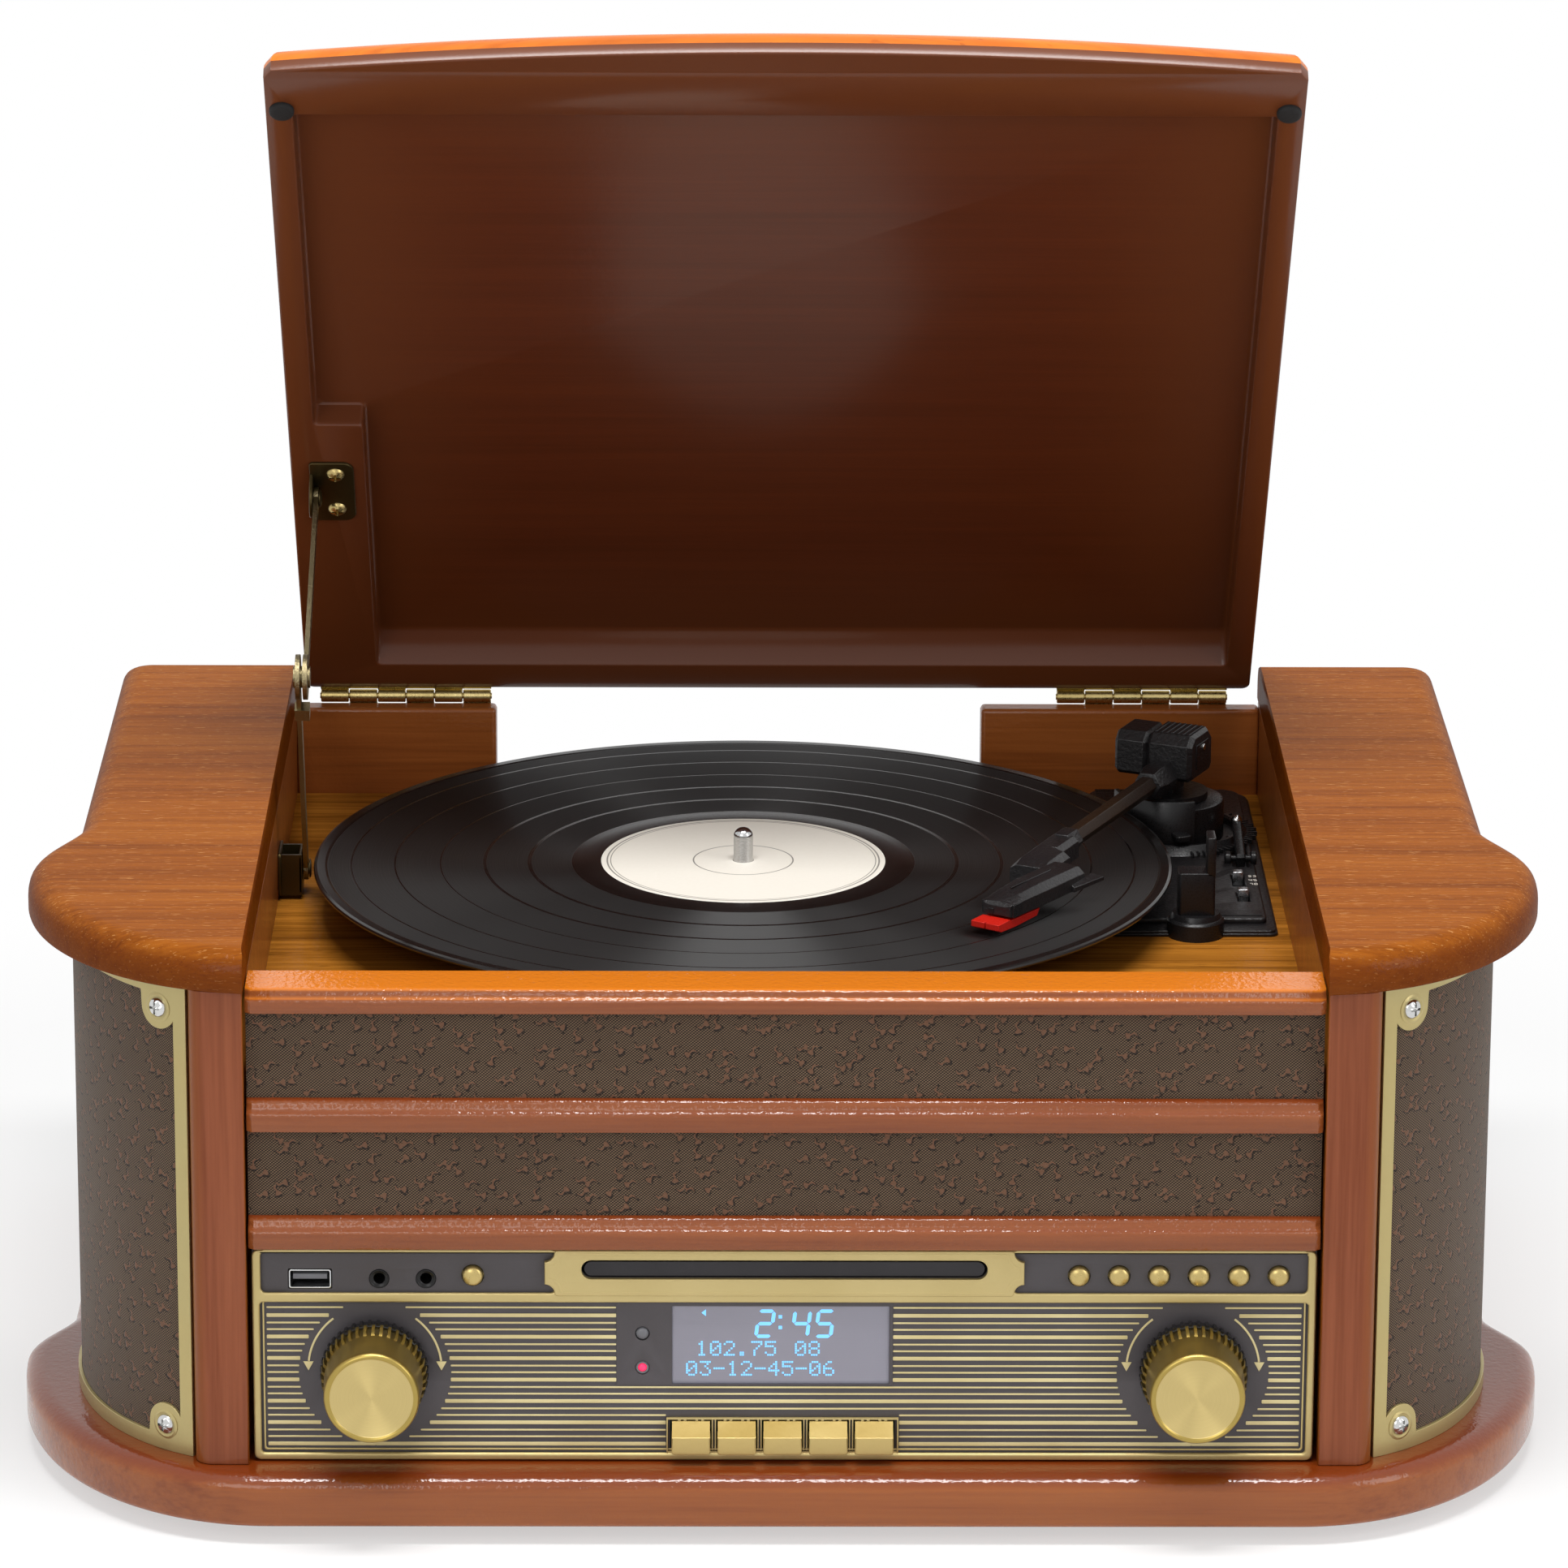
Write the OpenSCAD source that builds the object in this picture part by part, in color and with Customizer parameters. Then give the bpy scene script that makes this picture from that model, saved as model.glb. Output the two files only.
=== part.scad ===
// Stereo music centre: a wooden cabinet with a turntable under a hinged lid, a curved
// cloth-covered loudspeaker at each end and a gilt control panel in front.
// Millimetres, +Z up, +X to the viewer's right, the front faces -Y.
// The modules draw in cabinet coordinates: y = 0 is the front face of the posts,
// x = 0 the middle of the turntable bay and z = 0 the floor. placed() then moves the
// middle of the footprint to the origin.

/* [Cabinet] */
// Clear width of the turntable bay between its side walls
bay_w = 355.2; // [350:0.2:362]
// Depth from the front of the posts to the back of the base
cabinet_d = 352; // [346:1:372]
// Height of the rubber feet
foot_h = 6; // [4:0.5:10]
// Thickness of the base board
base_t = 18; // [14:1:24]
// Height of the corner posts
post_h = 166; // [160:1:176]
// Width of each corner post
post_w = 18; // [14:1:20]
// Depth of each corner post
post_d = 18; // [14:1:22]
// Thickness of the shoulder boards on top of the loudspeakers
shoulder_t = 14; // [11:1:18]
// Depth of the bay from the shoulder tops to the deck
bay_depth = 48; // [46:1:56]
// Thickness of the bay side walls, the back wall and the deck
board_t = 9; // [8:0.5:12]
// How far the bulge of the shoulders reaches past the bay wall
wing_reach = 77.9; // [74:0.1:82]
// How far the base board stands out past the shoulders
base_lip = 5.5; // [3:0.5:9]

/* [Front] */
// Height of the control panel
panel_h = 74.3; // [72:0.1:80]
// Height of the two lower rails
rail_h = 10.6; // [8:0.1:12]
// Height of the front of the top rail
top_rail_h = 8; // [6:0.1:10]
// How far the rails stand in front of the cloth
rail_proud = 6.5; // [4:0.5:9]

/* [Lid] */
// Gap between the lid and each side wall of the bay
lid_gap = 3.3; // [3.1:0.1:6]
// Length of the lid from its rear edge to its front corners
lid_l = 349; // [344:0.5:354]
// How far the front edge of the lid bows out in the middle
lid_bow = 10; // [0:0.5:12]
// Thickness of the lid
lid_t = 13; // [12:0.5:16]
// Depth of the hollow in the lid
lid_hollow = 9.7; // [9:0.1:11]
// How far the lid stands open
lid_open = 51.9; // [45:0.1:60]
// Radius of the hinge knuckles
knuckle_r = 2.4; // [2:0.1:2.6]

/* [Turntable] */
// Radius of the record
record_r = 150.8; // [125:0.1:151]
// Thickness of the record
record_t = 2; // [1.6:0.1:2.4]
// Radius of the record label
label_r = 50; // [45:0.5:52]
// Radius of the platter
platter_r = 100; // [95:1:110]
// Height of the platter from the foot of its belt track to its top
platter_h = 11.5; // [10:0.5:13]
// Radius of the centre spindle where the record sits
spindle_r = 3.57; // [3.5:0.01:3.6]
// Radius of the belt track under the platter
track_r = 70; // [60:1:74]
// Radius of the motor pulley
pulley_r = 6; // [4:0.5:7]

/* [Tonearm] */
// Distance from the tonearm pivot to the stylus
arm_l = 180; // [176:1:184]
// How far the head shell stands to the right of the tube
head_x = 8.5; // [0:0.5:12]
// Angle of the head shell to the tube
head_turn = 10; // [0:0.5:25]
// Angle of the tonearm from straight ahead while it plays
arm_angle = 24.8; // [20:0.1:28]
// Radius of the tonearm tube
tube_r = 3.2; // [2.6:0.1:3.4]
// Radius of the tonearm turret
turret_r = 19; // [17:0.5:20]

/* [Controls] */
// Radius of the knob face
knob_r = 15.2; // [13:0.1:16]
// Radius of the ribbed knob skirt
skirt_r = 18; // [17:0.1:20]
// How far each knob stands out from the posts
knob_reach = 26.3; // [22:0.1:30]
// Radius of the round buttons
button_r = 3.4; // [2.5:0.1:4]
// Distance between the round buttons on the right
button_pitch = 13.25; // [11:0.05:13.4]
// Width of each key under the display
key_w = 12.9; // [10:0.1:13.5]
// Distance between the keys
key_pitch = 15.25; // [14.5:0.05:15.6]
// Travel of the buttons and keys
press = 0.8; // [0.5:0.1:1]
// Length of the disc tray slot
slot_w = 134.6; // [130:0.1:138]
// Height of the disc tray slot
slot_h = 6.7; // [6:0.1:8]

/* [Hidden] */
$fn = 48;
eps = 0.01;

// Running clearance of a shaft in its bore, and the gap between pieces that pass
run = 0.05;
gap = 0.3;

// Heights
base_z = foot_h + base_t;
post_z = base_z + post_h;
shoulder_z = post_z + shoulder_t;
deck_z = shoulder_z - bay_depth;
panel_z = base_z + 0.6;
rail1_z = panel_z + panel_h + 1.1;
strip1_z = rail1_z + rail_h;
rail3_z = post_z - top_rail_h;
strip_h = (rail3_z - strip1_z - rail_h) / 2;
rail2_z = strip1_z + strip_h;
strip2_z = rail2_z + rail_h;

// Places across and along
half_bay = bay_w / 2;
back_y = cabinet_d;
mid_y = (back_y - knob_reach) / 2;
wall_back_y = back_y - 6;
wall_y = wall_back_y - board_t;
back_wall_z = post_z - 1.4;
cutout_left = -104;
cutout_right = 75;
cutout_z = deck_z;

// The outline of the bulging ends: an ellipse from the front to the widest point, an
// S-curve inwards and a straight stretch to the back
wing_x = 171;
wing_y = 97;
wing_a = half_bay + wing_reach - wing_x;
wing_b = wing_y + 6;
shoulder_side = half_bay + 64.4;
side_bend = 50;
grille_a = wing_a - 13.8;
grille_b = wing_b - 10;
grille_y = wing_y - 5;
grille_side = shoulder_side - 10;
grille_start = asin((half_bay + post_w + 1.5 - wing_x) / grille_a);
grille_facets = 12;
grille_end_y = grille_y + side_bend;
frame_t = 1.2;
cloth_t = 1;
shell_t = 4;

// The lid hangs on a pin just above the back wall
pin_y = wall_back_y - 0.5;
pin_z = back_wall_z + knuckle_r + 0.2;
pin_r = 1.1;
leaf_t = 1;
lid_rear = 3.6;
lid_w = bay_w - 2 * lid_gap;
lid_under = 0.9;
lid_z = pin_z + lid_under;
lid_edge = 8.6;
lid_front_edge = 22;
lid_rear_edge = 14;
lid_block_w = 26;
lid_block_l = 157;
bumper_t = lid_z - post_z - gap;
bumper_s = lid_l - 20;
hinge_l = 63;
hinge_left = -137.5;
hinge_right = 134.5;
hinge_knuckles = 6;

// The folding stay at the left: the lower arm turns on the wall, the upper arm on the lid
stay_s = 122.6;
stay_d = 5.7;
stay_wall = [212.7, deck_z + 9.5];
stay_elbow = [177.4, deck_z + 89.9];
stay_closed = [pin_y - lid_rear - stay_s, lid_z - stay_d];
stay_lid = lid_turn(stay_closed);
stay_low_l = norm(stay_elbow - stay_wall);
stay_up_l = norm(stay_elbow - stay_lid);
stay_low_angle = atan2(stay_elbow[1] - stay_wall[1], stay_elbow[0] - stay_wall[0]);
stay_up_angle = atan2(stay_elbow[1] - stay_lid[1], stay_elbow[0] - stay_lid[0]);
stay_t = 1.6;
stay_low_x = -half_bay + 9.6;
stay_up_x = stay_low_x + 2.6;
stay_disc = 7.9;
stay_end = 4;
stay_pin = 2;

// Turntable
platter_c = [-13.3, 192.9];
platter_z = deck_z + 3.5;
mat_z = platter_z + platter_h;
record_z = mat_z + 2;
spindle_top = record_z + record_t + 12;
spindle_tip = spindle_r - 0.17;
track_gap = 0.4;
belt_t = 0.8;
belt_h = 5;
pulley_d = track_r + pulley_r + 8;
pulley_angle = 135;
pulley_c = platter_c + pulley_d * [cos(pulley_angle), sin(pulley_angle)];

// Tonearm
arm_c = [142, 275];
plate_x0 = 112;
plate_x1 = half_bay - 4.1;
plate_y0 = 164;
plate_y1 = wall_y - 3;
plate_t = 4;
turret_z = deck_z + 18;
tilt_z = deck_z + 31;
tube_z = record_z + record_t + 9.5;
rest_c = [144.6, 167];
socket_r = 5.2;
neck_drop = 4.5;
rest_z = tube_z - neck_drop - gap;
lift_r = turret_r + gap;
lift_top = tube_z - socket_r - 1.4;
lever_c = [165, 240];
lever_z = deck_z + 5.4;
speed_c = [162.8, 221];
autostop_c = [163.4, 200];

// Control panel
panel_w = bay_w - 2.4;
panel_front = 3;
panel_t = 3;
trim_t = 2.2;
strip_z = panel_z + 59.1;
field_z = strip_z - 3.3;
button_z = panel_z + 64.9;
jack_z = panel_z + 63.6;
slot_z = panel_z + 67.6;
knob_x = 136;
knob_z = panel_z + 32.2;
dial_r = 24.5;
shaft_r = 3;
button_x0 = panel_w / 2 - 12.45 - 5 * button_pitch;
function_x = -103.3;
aux_x = -134.3;
phones_x = -118.8;
usb_x = -157.2;
usb_w = 14;
usb_h = 6.6;
jack_r = 1.8;
jack_nut_r = 3.2;
window_x = [-37.3, 35];
window_z = [panel_z + 26.4, panel_z + 54.1];
sensor_x = -47.1;
sensor_z = panel_z + 44.4;
led_z = panel_z + 32.3;
lens_r = 2.3;
key_x0 = -37.4;
key_z = panel_z + 3.4;
key_h = 10.4;
key_front = -3;
board_y = 10.5;
encoder_floor = board_y - 0.4;
plunger_y = encoder_floor - press - gap;
plunger_l = plunger_y + knob_reach - 12.3;
pcb_t = 1.6;
switch_y = 9.9;
tray_h = 4.9;
tray_w = slot_w - 2;
tray_l = 150;
disc_r = 60.4;
drive_y = 16;

// The driver sits behind the bulge, square to the grille
driver_t = 58;
driver_z = base_z + 83;
driver_in = 14;
driver_r = 31;
driver_hole = 27;
boss_r = 33;

function flip(points) = [for (k = [len(points) - 1:-1:0]) points[k]];
function mirrored(points) = [for (q = flip(points)) [-q[0], q[1]]];
function lid_turn(q) = [
    pin_y + (q[0] - pin_y) * cos(lid_open) + (q[1] - pin_z) * sin(lid_open),
    pin_z - (q[0] - pin_y) * sin(lid_open) + (q[1] - pin_z) * cos(lid_open)];
function ellipse(cx, cy, a, b, t0, t1, n) =
    [for (k = [0:n]) let (t = t0 + (t1 - t0) * k / n) [cx + a * sin(t), cy - b * cos(t)]];
function s_bend(x0, x1, y0, y1, n) =
    [for (k = [1:n]) [x1 + (x0 - x1) * (1 + cos(180 * k / n)) / 2, y0 + (y1 - y0) * k / n]];
function corner(x, y, r) = [for (t = [0:30:90]) [x - r + r * cos(t), y - r + r * sin(t)]];

// Outline of a shoulder board or of one end of the base, drawn in by i
function wing(grow, i, back, rear_r) = concat(
    ellipse(wing_x, wing_y + grow * 2, wing_a + grow - i, wing_b + grow * 3.4 - i, 0, 90, 14),
    s_bend(wing_x + wing_a + grow - i, shoulder_side + grow - i, wing_y + grow * 2,
        wing_y + side_bend, 6),
    corner(shoulder_side + grow - i, back - i, rear_r));
// Curve of the grille, drawn in by i, from the post round to the rear of the cloth
function grille_curve(i) = concat(
    ellipse(wing_x, grille_y, grille_a - i, grille_b - i, grille_start, 90, grille_facets),
    s_bend(wing_x + grille_a - i, grille_side - i, grille_y, grille_end_y, 6));
function shell_curve(i) = concat(grille_curve(i), [[grille_side - i, wall_back_y]]);
function grille_point(i, t) =
    [wing_x + (grille_a - i) * sin(t), grille_y - (grille_b - i) * cos(t)];
function grille_normal(t) = atan2(-cos(t) / grille_b, sin(t) / grille_a);

module placed() {
    translate([0, -mid_y, 0]) children();
}
module both_sides() {
    children();
    mirror([1, 0, 0]) children();
}
// Draws in the plane of the front: local x and y are the cabinet's x and z, and what is
// extruded comes forwards from y
module facing(y) {
    translate([0, y, 0]) rotate([90, 0, 0]) children();
}
module slab(x, y, z) {
    translate([x[0], y[0], z[0]]) cube([x[1] - x[0], y[1] - y[0], z[1] - z[0]]);
}
module loft(rings, heights) {
    n = len(rings[0]);
    m = len(rings);
    polyhedron(
        points = [for (j = [0:m - 1]) for (q = rings[j]) [q[0], q[1], heights[j]]],
        faces = concat(
            [[for (k = [0:n - 1]) k]],
            [[for (k = [n - 1:-1:0]) (m - 1) * n + k]],
            [for (j = [0:m - 2]) for (k = [0:n - 1])
                [j * n + k, (j + 1) * n + k, (j + 1) * n + (k + 1) % n, j * n + (k + 1) % n]]));
}
module pill(w, h) {
    square([w - h, h], center = true);
    for (s = [-1, 1]) translate([s * (w - h) / 2, 0]) circle(r = h / 2);
}

// ---- Cabinet ----
module base_board() placed() color("#7a2f12") {
    top_in = 7;
    rings = [for (i = [2, 0, 0, 0.9, 3.2, top_in])
        let (half = wing(base_lip, i, back_y, 6)) concat(half, mirrored(half))];
    loft(rings, [foot_h, foot_h + 2, base_z - 5, base_z - 2.5, base_z - 0.8, base_z]);
}
module rubber_feet() placed() color("#1c1c1c") {
    for (x = [-half_bay - 12.4, half_bay + 12.4]) for (y = [wing_y - 57, back_y - 42])
        translate([x, y, 0]) rotate_extrude()
            polygon([[0, 0], [12, 0], [14, 1.5], [14, foot_h], [0, foot_h]]);
}
module front_posts() placed() color("#8a3b18") both_sides()
    translate([half_bay + 0.4, 0, base_z]) linear_extrude(post_h) difference() {
        union() {
            translate([0, -2]) square([post_w - 6, post_d]);
            translate([post_w - 6, 4]) circle(r = 6);
            translate([post_w - 6 - eps, 4]) square([6 + eps, post_d - 6]);
        }
    }
module shoulder_boards() placed() color("#b5622a") both_sides() {
    rings = [for (i = [0.8, 0, 0, 1.2, 4, 9])
        concat([[half_bay, wing(0, i, wall_back_y + 3, 5)[0][1]]],
            [for (q = wing(0, i, wall_back_y + 3, 5)) if (q[0] > half_bay + 1) q],
            [[half_bay, wall_back_y + 3 - i]])];
    loft(rings, [post_z, post_z + 1, post_z + 5, shoulder_z - 4.5, shoulder_z - 1.4, shoulder_z]);
}
module bay_walls() placed() color("#6e2e14") {
    both_sides() slab([half_bay, half_bay + board_t - 1], [post_d - 2, wall_back_y],
        [base_z, post_z]);
    difference() {
        slab([-half_bay, half_bay], [wall_y, wall_back_y], [deck_z - 18, back_wall_z]);
        slab([cutout_left, cutout_right], [wall_y - 1, wall_back_y + 1],
            [cutout_z, back_wall_z + 1]);
    }
}
module deck_board() placed() color("#c07a2c") difference() {
    slab([-half_bay, half_bay], [20, wall_y], [deck_z - board_t, deck_z]);
    translate([platter_c[0], platter_c[1], deck_z - board_t - 1]) cylinder(r = 6.1, h = board_t + 2);
    translate([pulley_c[0], pulley_c[1], deck_z - board_t - 1]) cylinder(r = 12, h = board_t + 2);
}
module rear_cover() placed() color("#3a2416") translate([0, wall_back_y + 3, 0]) rotate([90, 0, 0])
    linear_extrude(3) difference() {
        translate([-grille_side + 3, base_z]) square([2 * grille_side - 6, post_z - base_z - 4]);
        translate([cutout_left, cutout_z - 5]) square([cutout_right - cutout_left, bay_depth]);
        for (k = [0:8]) translate([-36 + 9 * k, base_z + 75]) square([3, 34]);
        for (q = rear_screw_places()) translate(q) circle(r = 1.6);
    }
function rear_screw_places() = [
    for (x = [-grille_side + 10, -half_bay + 60, half_bay - 60, grille_side - 10])
        for (z = [base_z + 8, cutout_z - 16]) [x, z]];
module rail(z, h, depth) translate([0, 0, z]) rotate([90, 0, 90])
    translate([0, 0, -half_bay + 0.4]) linear_extrude(bay_w - 0.8)
        polygon(concat([[depth, 0], [depth, h]],
            [for (t = [90:15:270]) [4 - rail_proud + 2.4 + (rail_proud - 2.4) * (1 + cos(t)) - 2,
                h / 2 + h / 2 * sin(t)]]));
module front_rails() placed() color("#8a3b18") {
    rail(rail1_z, rail_h, 4);
    rail(rail2_z, rail_h, 4);
    slab([-half_bay + 0.4, half_bay - 0.4], [4, 20], [rail3_z, post_z]);
    rail(rail3_z, post_z - rail3_z, 4);
}
module front_baffle() placed() color("#5b4027")
    slab([-half_bay + 0.4, half_bay - 0.4], [4, 10], [rail1_z, rail3_z]);
module cloth_covers() placed() color("#4c3a2c") {
    for (z = [strip1_z, strip2_z]) slab([-half_bay + 0.4, half_bay - 0.4], [3, 4], [z, z + strip_h]);
    both_sides() translate([0, 0, base_z]) linear_extrude(post_h)
        polygon(concat(grille_curve(frame_t), flip(grille_curve(frame_t + cloth_t))));
}

// ---- Loudspeakers ----
module along_normal(t, i) {
    p = grille_point(i, t);
    translate([p[0], p[1], 0]) rotate([0, 0, grille_normal(t)]) rotate([0, 90, 0]) children();
}
module speaker_shells() placed() color("#6e2e14") both_sides() {
    outer = frame_t + cloth_t;
    difference() {
        union() {
            translate([0, 0, base_z]) linear_extrude(post_h)
                polygon(concat(shell_curve(outer), flip(shell_curve(outer + shell_t))));
            intersection() {
                translate([0, 0, base_z]) linear_extrude(post_h)
                    polygon(concat(grille_curve(outer + 1), [[half_bay + 12, grille_end_y]]));
                translate([0, 0, driver_z]) along_normal(driver_t, 0) translate([0, 0, -driver_in])
                    cylinder(r = boss_r, h = driver_in + 10);
            }
        }
        translate([0, 0, driver_z]) along_normal(driver_t, 0) translate([0, 0, -driver_in - 5])
            cylinder(r = driver_hole, h = driver_in + 20);
        slab([half_bay, half_bay + 0.4 + post_w + 0.1], [-5, post_d + 0.1], [base_z - 1, post_z + 1]);
    }
}
module grille_frames() placed() color("#b39a55") both_sides() {
    rim = 6.5;
    band = concat(grille_curve(0), flip(grille_curve(frame_t)));
    screw_t = frame_screw_angle();
    difference() {
        union() {
            for (z = [base_z, post_z - rim]) translate([0, 0, z]) linear_extrude(rim) polygon(band);
            intersection() {
                translate([0, 0, base_z]) linear_extrude(post_h) polygon(band);
                union() {
                    slab([half_bay, grille_point(0, grille_start)[0] + 7], [-10, 40],
                        [base_z, post_z]);
                    slab([half_bay, half_bay + 100], [grille_end_y - 7, grille_end_y + 1],
                        [base_z, post_z]);
                    for (z = frame_screw_heights()) translate([0, 0, z]) along_normal(screw_t, 0)
                        translate([0, 0, -8]) cylinder(r = 8, h = 16);
                }
            }
        }
        for (z = frame_screw_heights()) translate([0, 0, z]) along_normal(screw_t, 0)
            translate([0, 0, -8]) cylinder(r = 2, h = 16);
    }
}
function frame_screw_angle() = grille_start + (90 - grille_start) * 1.5 / grille_facets;
function frame_screw_heights() = [base_z + 9.3, post_z - 10];
module speaker_drivers() placed() color("#2a2a2c") both_sides()
    translate([0, 0, driver_z]) along_normal(driver_t, 0) translate([0, 0, -driver_in])
        rotate([180, 0, 0]) rotate_extrude() polygon([[0, 4], [8, 4], [driver_hole - 2, 0],
            [driver_r, 0], [driver_r, 2], [driver_r - 4, 4], [17, 13], [19, 13], [19, 22], [0, 22]]);

// ---- Control panel ----
module button_shape(r) {
    for (k = [0:5]) translate([button_x0 + k * button_pitch, button_z]) circle(r = r);
    translate([function_x, button_z]) circle(r = r);
}
module sockets_shape(grow) {
    for (x = [aux_x, phones_x]) translate([x, jack_z]) circle(r = jack_nut_r + grow);
    translate([usb_x, jack_z]) square([usb_w + 2 * grow, usb_h + 2 * grow], center = true);
}
module keys_shape(grow) {
    for (k = [0:4]) translate([key_x0 + k * key_pitch - grow, key_z - grow])
        square([key_w + 2 * grow, key_h + 2 * grow]);
}
module window_shape(grow) {
    translate([window_x[0] - grow, window_z[0] - grow])
        square([window_x[1] - window_x[0] + 2 * grow, window_z[1] - window_z[0] + 2 * grow]);
    for (z = [sensor_z, led_z]) translate([sensor_x, z]) circle(r = lens_r + grow);
}
module control_panel() placed() color("#3b383a") {
    facing(panel_front + panel_t) linear_extrude(panel_t) difference() {
        translate([-panel_w / 2, panel_z]) square([panel_w, panel_h]);
        button_shape(button_r + gap);
        sockets_shape(0.1);
        keys_shape(gap);
        window_shape(0.1);
        for (s = [-1, 1]) translate([s * knob_x, knob_z]) circle(r = shaft_r + 1.6);
        translate([0, slot_z]) pill(slot_w, slot_h);
    }
    for (s = [-1, 1]) facing(panel_front) translate([s * knob_x, knob_z]) linear_extrude(1)
        difference() {
            circle(r = dial_r);
            circle(r = shaft_r + 1.6);
            translate([-dial_r, field_z - knob_z - 0.1]) square([2 * dial_r, dial_r]);
        }
}
module cd_plate_shape() {
    w = slot_w / 2 + 12.2;
    z0 = strip_z;
    z1 = panel_z + panel_h;
    half = [[w - 4, z0], [w - 3.4, z0 + 1.8], [w, z0 + 4.6], [w, z1 - 4.6], [w - 3.4, z1 - 1.8],
        [w - 3.6, z1]];
    polygon(concat(half, mirrored(half)));
}
module panel_trim() placed() color("#b39a55") facing(panel_front) {
    linear_extrude(trim_t) {
        difference() {
            translate([-panel_w / 2, panel_z]) square([panel_w, panel_h]);
            translate([-panel_w / 2 + 3, panel_z + 2.4]) square([panel_w - 6, field_z - panel_z - 2.4]);
            translate([-panel_w / 2 + 3, strip_z]) square([panel_w - 6, panel_h]);
        }
        difference() {
            cd_plate_shape();
            translate([0, slot_z]) pill(slot_w, slot_h);
        }
        translate([-panel_w / 2, panel_z + panel_h - 1.2]) square([panel_w, 1.2]);
    }
    linear_extrude(1.4) difference() {
        translate([key_x0 - 1.8, panel_z]) square([4 * key_pitch + key_w + 3.6, key_z + key_h - panel_z + 1.6]);
        keys_shape(gap);
    }
}
module display_window() placed() color("#8c93a0") facing(panel_front + panel_t)
    linear_extrude(panel_t - 0.2) window_shape(0);
module front_sockets() placed() color("#8b8e92") {
    facing(panel_front + 13) {
        for (x = [aux_x, phones_x]) translate([x, jack_z]) {
            linear_extrude(13.4) difference() {
                circle(r = jack_nut_r);
                circle(r = jack_r);
            }
        }
        translate([usb_x, jack_z]) {
            linear_extrude(13.2) difference() {
                square([usb_w, usb_h], center = true);
                square([usb_w - 1, usb_h - 1], center = true);
            }
            linear_extrude(1) square([usb_w - 1, usb_h - 1], center = true);
            translate([0, 1.5, 0]) linear_extrude(9) square([usb_w - 3, 1.4], center = true);
        }
    }
}
module encoders() placed() color("#6f7276") for (s = [-1, 1])
    translate([s * knob_x, 0, knob_z]) difference() {
        union() {
            slab([-6.5, 6.5], [panel_front + panel_t, board_y], [-6.5, 6.5]);
            facing(panel_front + panel_t) cylinder(r = shaft_r + 1.5, h = panel_t);
        }
        facing(encoder_floor) cylinder(r = shaft_r + run, h = 20);
    }
module circuit_boards() placed() color("#2f6b3c") {
    facing(board_y + pcb_t) linear_extrude(pcb_t) difference() {
        translate([-panel_w / 2 + 2, panel_z + 1]) square([panel_w - 4, panel_h - 3]);
        translate([-slot_w / 2 - 6, strip_z - 4]) square([slot_w + 12, 40]);
        translate([usb_x - 12, jack_z - 6]) square([phones_x - usb_x + 20, 30]);
    }
    slab([window_x[0] - 2, window_x[1] + 2], [panel_front + panel_t, board_y],
        [window_z[0] - 3, window_z[1] + 3]);
    for (z = [sensor_z, led_z]) slab([sensor_x - 2, sensor_x + 2], [panel_front + panel_t, board_y],
        [z - 2, z + 2]);
    for (k = [0:5]) tact_switch(button_x0 + k * button_pitch, button_z);
    tact_switch(function_x, button_z);
    for (k = [0:4]) tact_switch(key_x0 + key_w / 2 + k * key_pitch, key_z + key_h / 2);
    slab([-120, 40], [tray_l + 18, 268], [base_z + 8, base_z + 8 + pcb_t]);
    for (x = [-112, 32]) for (y = [tray_l + 26, 260]) translate([x, y, base_z])
        cylinder(r = 3, h = 8);
    slab([-100, -60], [190, 240], [base_z + 8 + pcb_t, base_z + 26]);
    slab([-20, 0], [178, 198], [base_z + 8 + pcb_t, base_z + 14]);
    for (x = [-40, -10, 20]) translate([x, 225, base_z + 8 + pcb_t]) cylinder(r = 7, h = 18);
}
module tact_switch(x, z) slab([x - 2.6, x + 2.6], [switch_y, board_y], [z - 2.6, z + 2.6]);

module plunger(x) translate([x, 0, knob_z]) facing(plunger_y)
    cylinder(r = shaft_r, h = plunger_l);
module volume_plunger() placed() color("#c8c8c8") plunger(-knob_x);
module tuning_plunger() placed() color("#c8c8c8") plunger(knob_x);

// A spun knob pushed onto the shaft; the ribs run round the skirt
module knob(x) translate([x, 0, knob_z]) {
    ribs = 36;
    back = panel_front - 1 - press - 0.6;
    skirt_h = 11;
    front = knob_reach + back;
    bore = back - plunger_y + plunger_l + gap;
    facing(back) {
        rotate_extrude() polygon([[shaft_r + run, 1.5], [shaft_r + 3, 1.5], [shaft_r + 3, 0],
            [skirt_r - 1, 0], [skirt_r - 1, 1.5], [skirt_r, 1.5], [skirt_r, 3.5],
            [knob_r + 1.6, 4.5], [knob_r + 1.2, skirt_h], [knob_r + 0.6, front - 2.6],
            [knob_r + 0.6, front - 1], [knob_r - 0.4, front], [knob_r - 1.4, front],
            [knob_r - 1.8, front - 0.5], [0, front - 0.5], [0, bore], [shaft_r + run, bore]]);
        for (k = [0:ribs - 1]) rotate([0, 0, k * 360 / ribs]) translate([knob_r + 1, -0.5, 3])
            cube([skirt_r - knob_r - 1.3, 1, skirt_h - 4]);
    }
}
module volume_knob() placed() color("#c2a75c") knob(-knob_x);
module tuning_knob() placed() color("#c2a75c") knob(knob_x);

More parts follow.
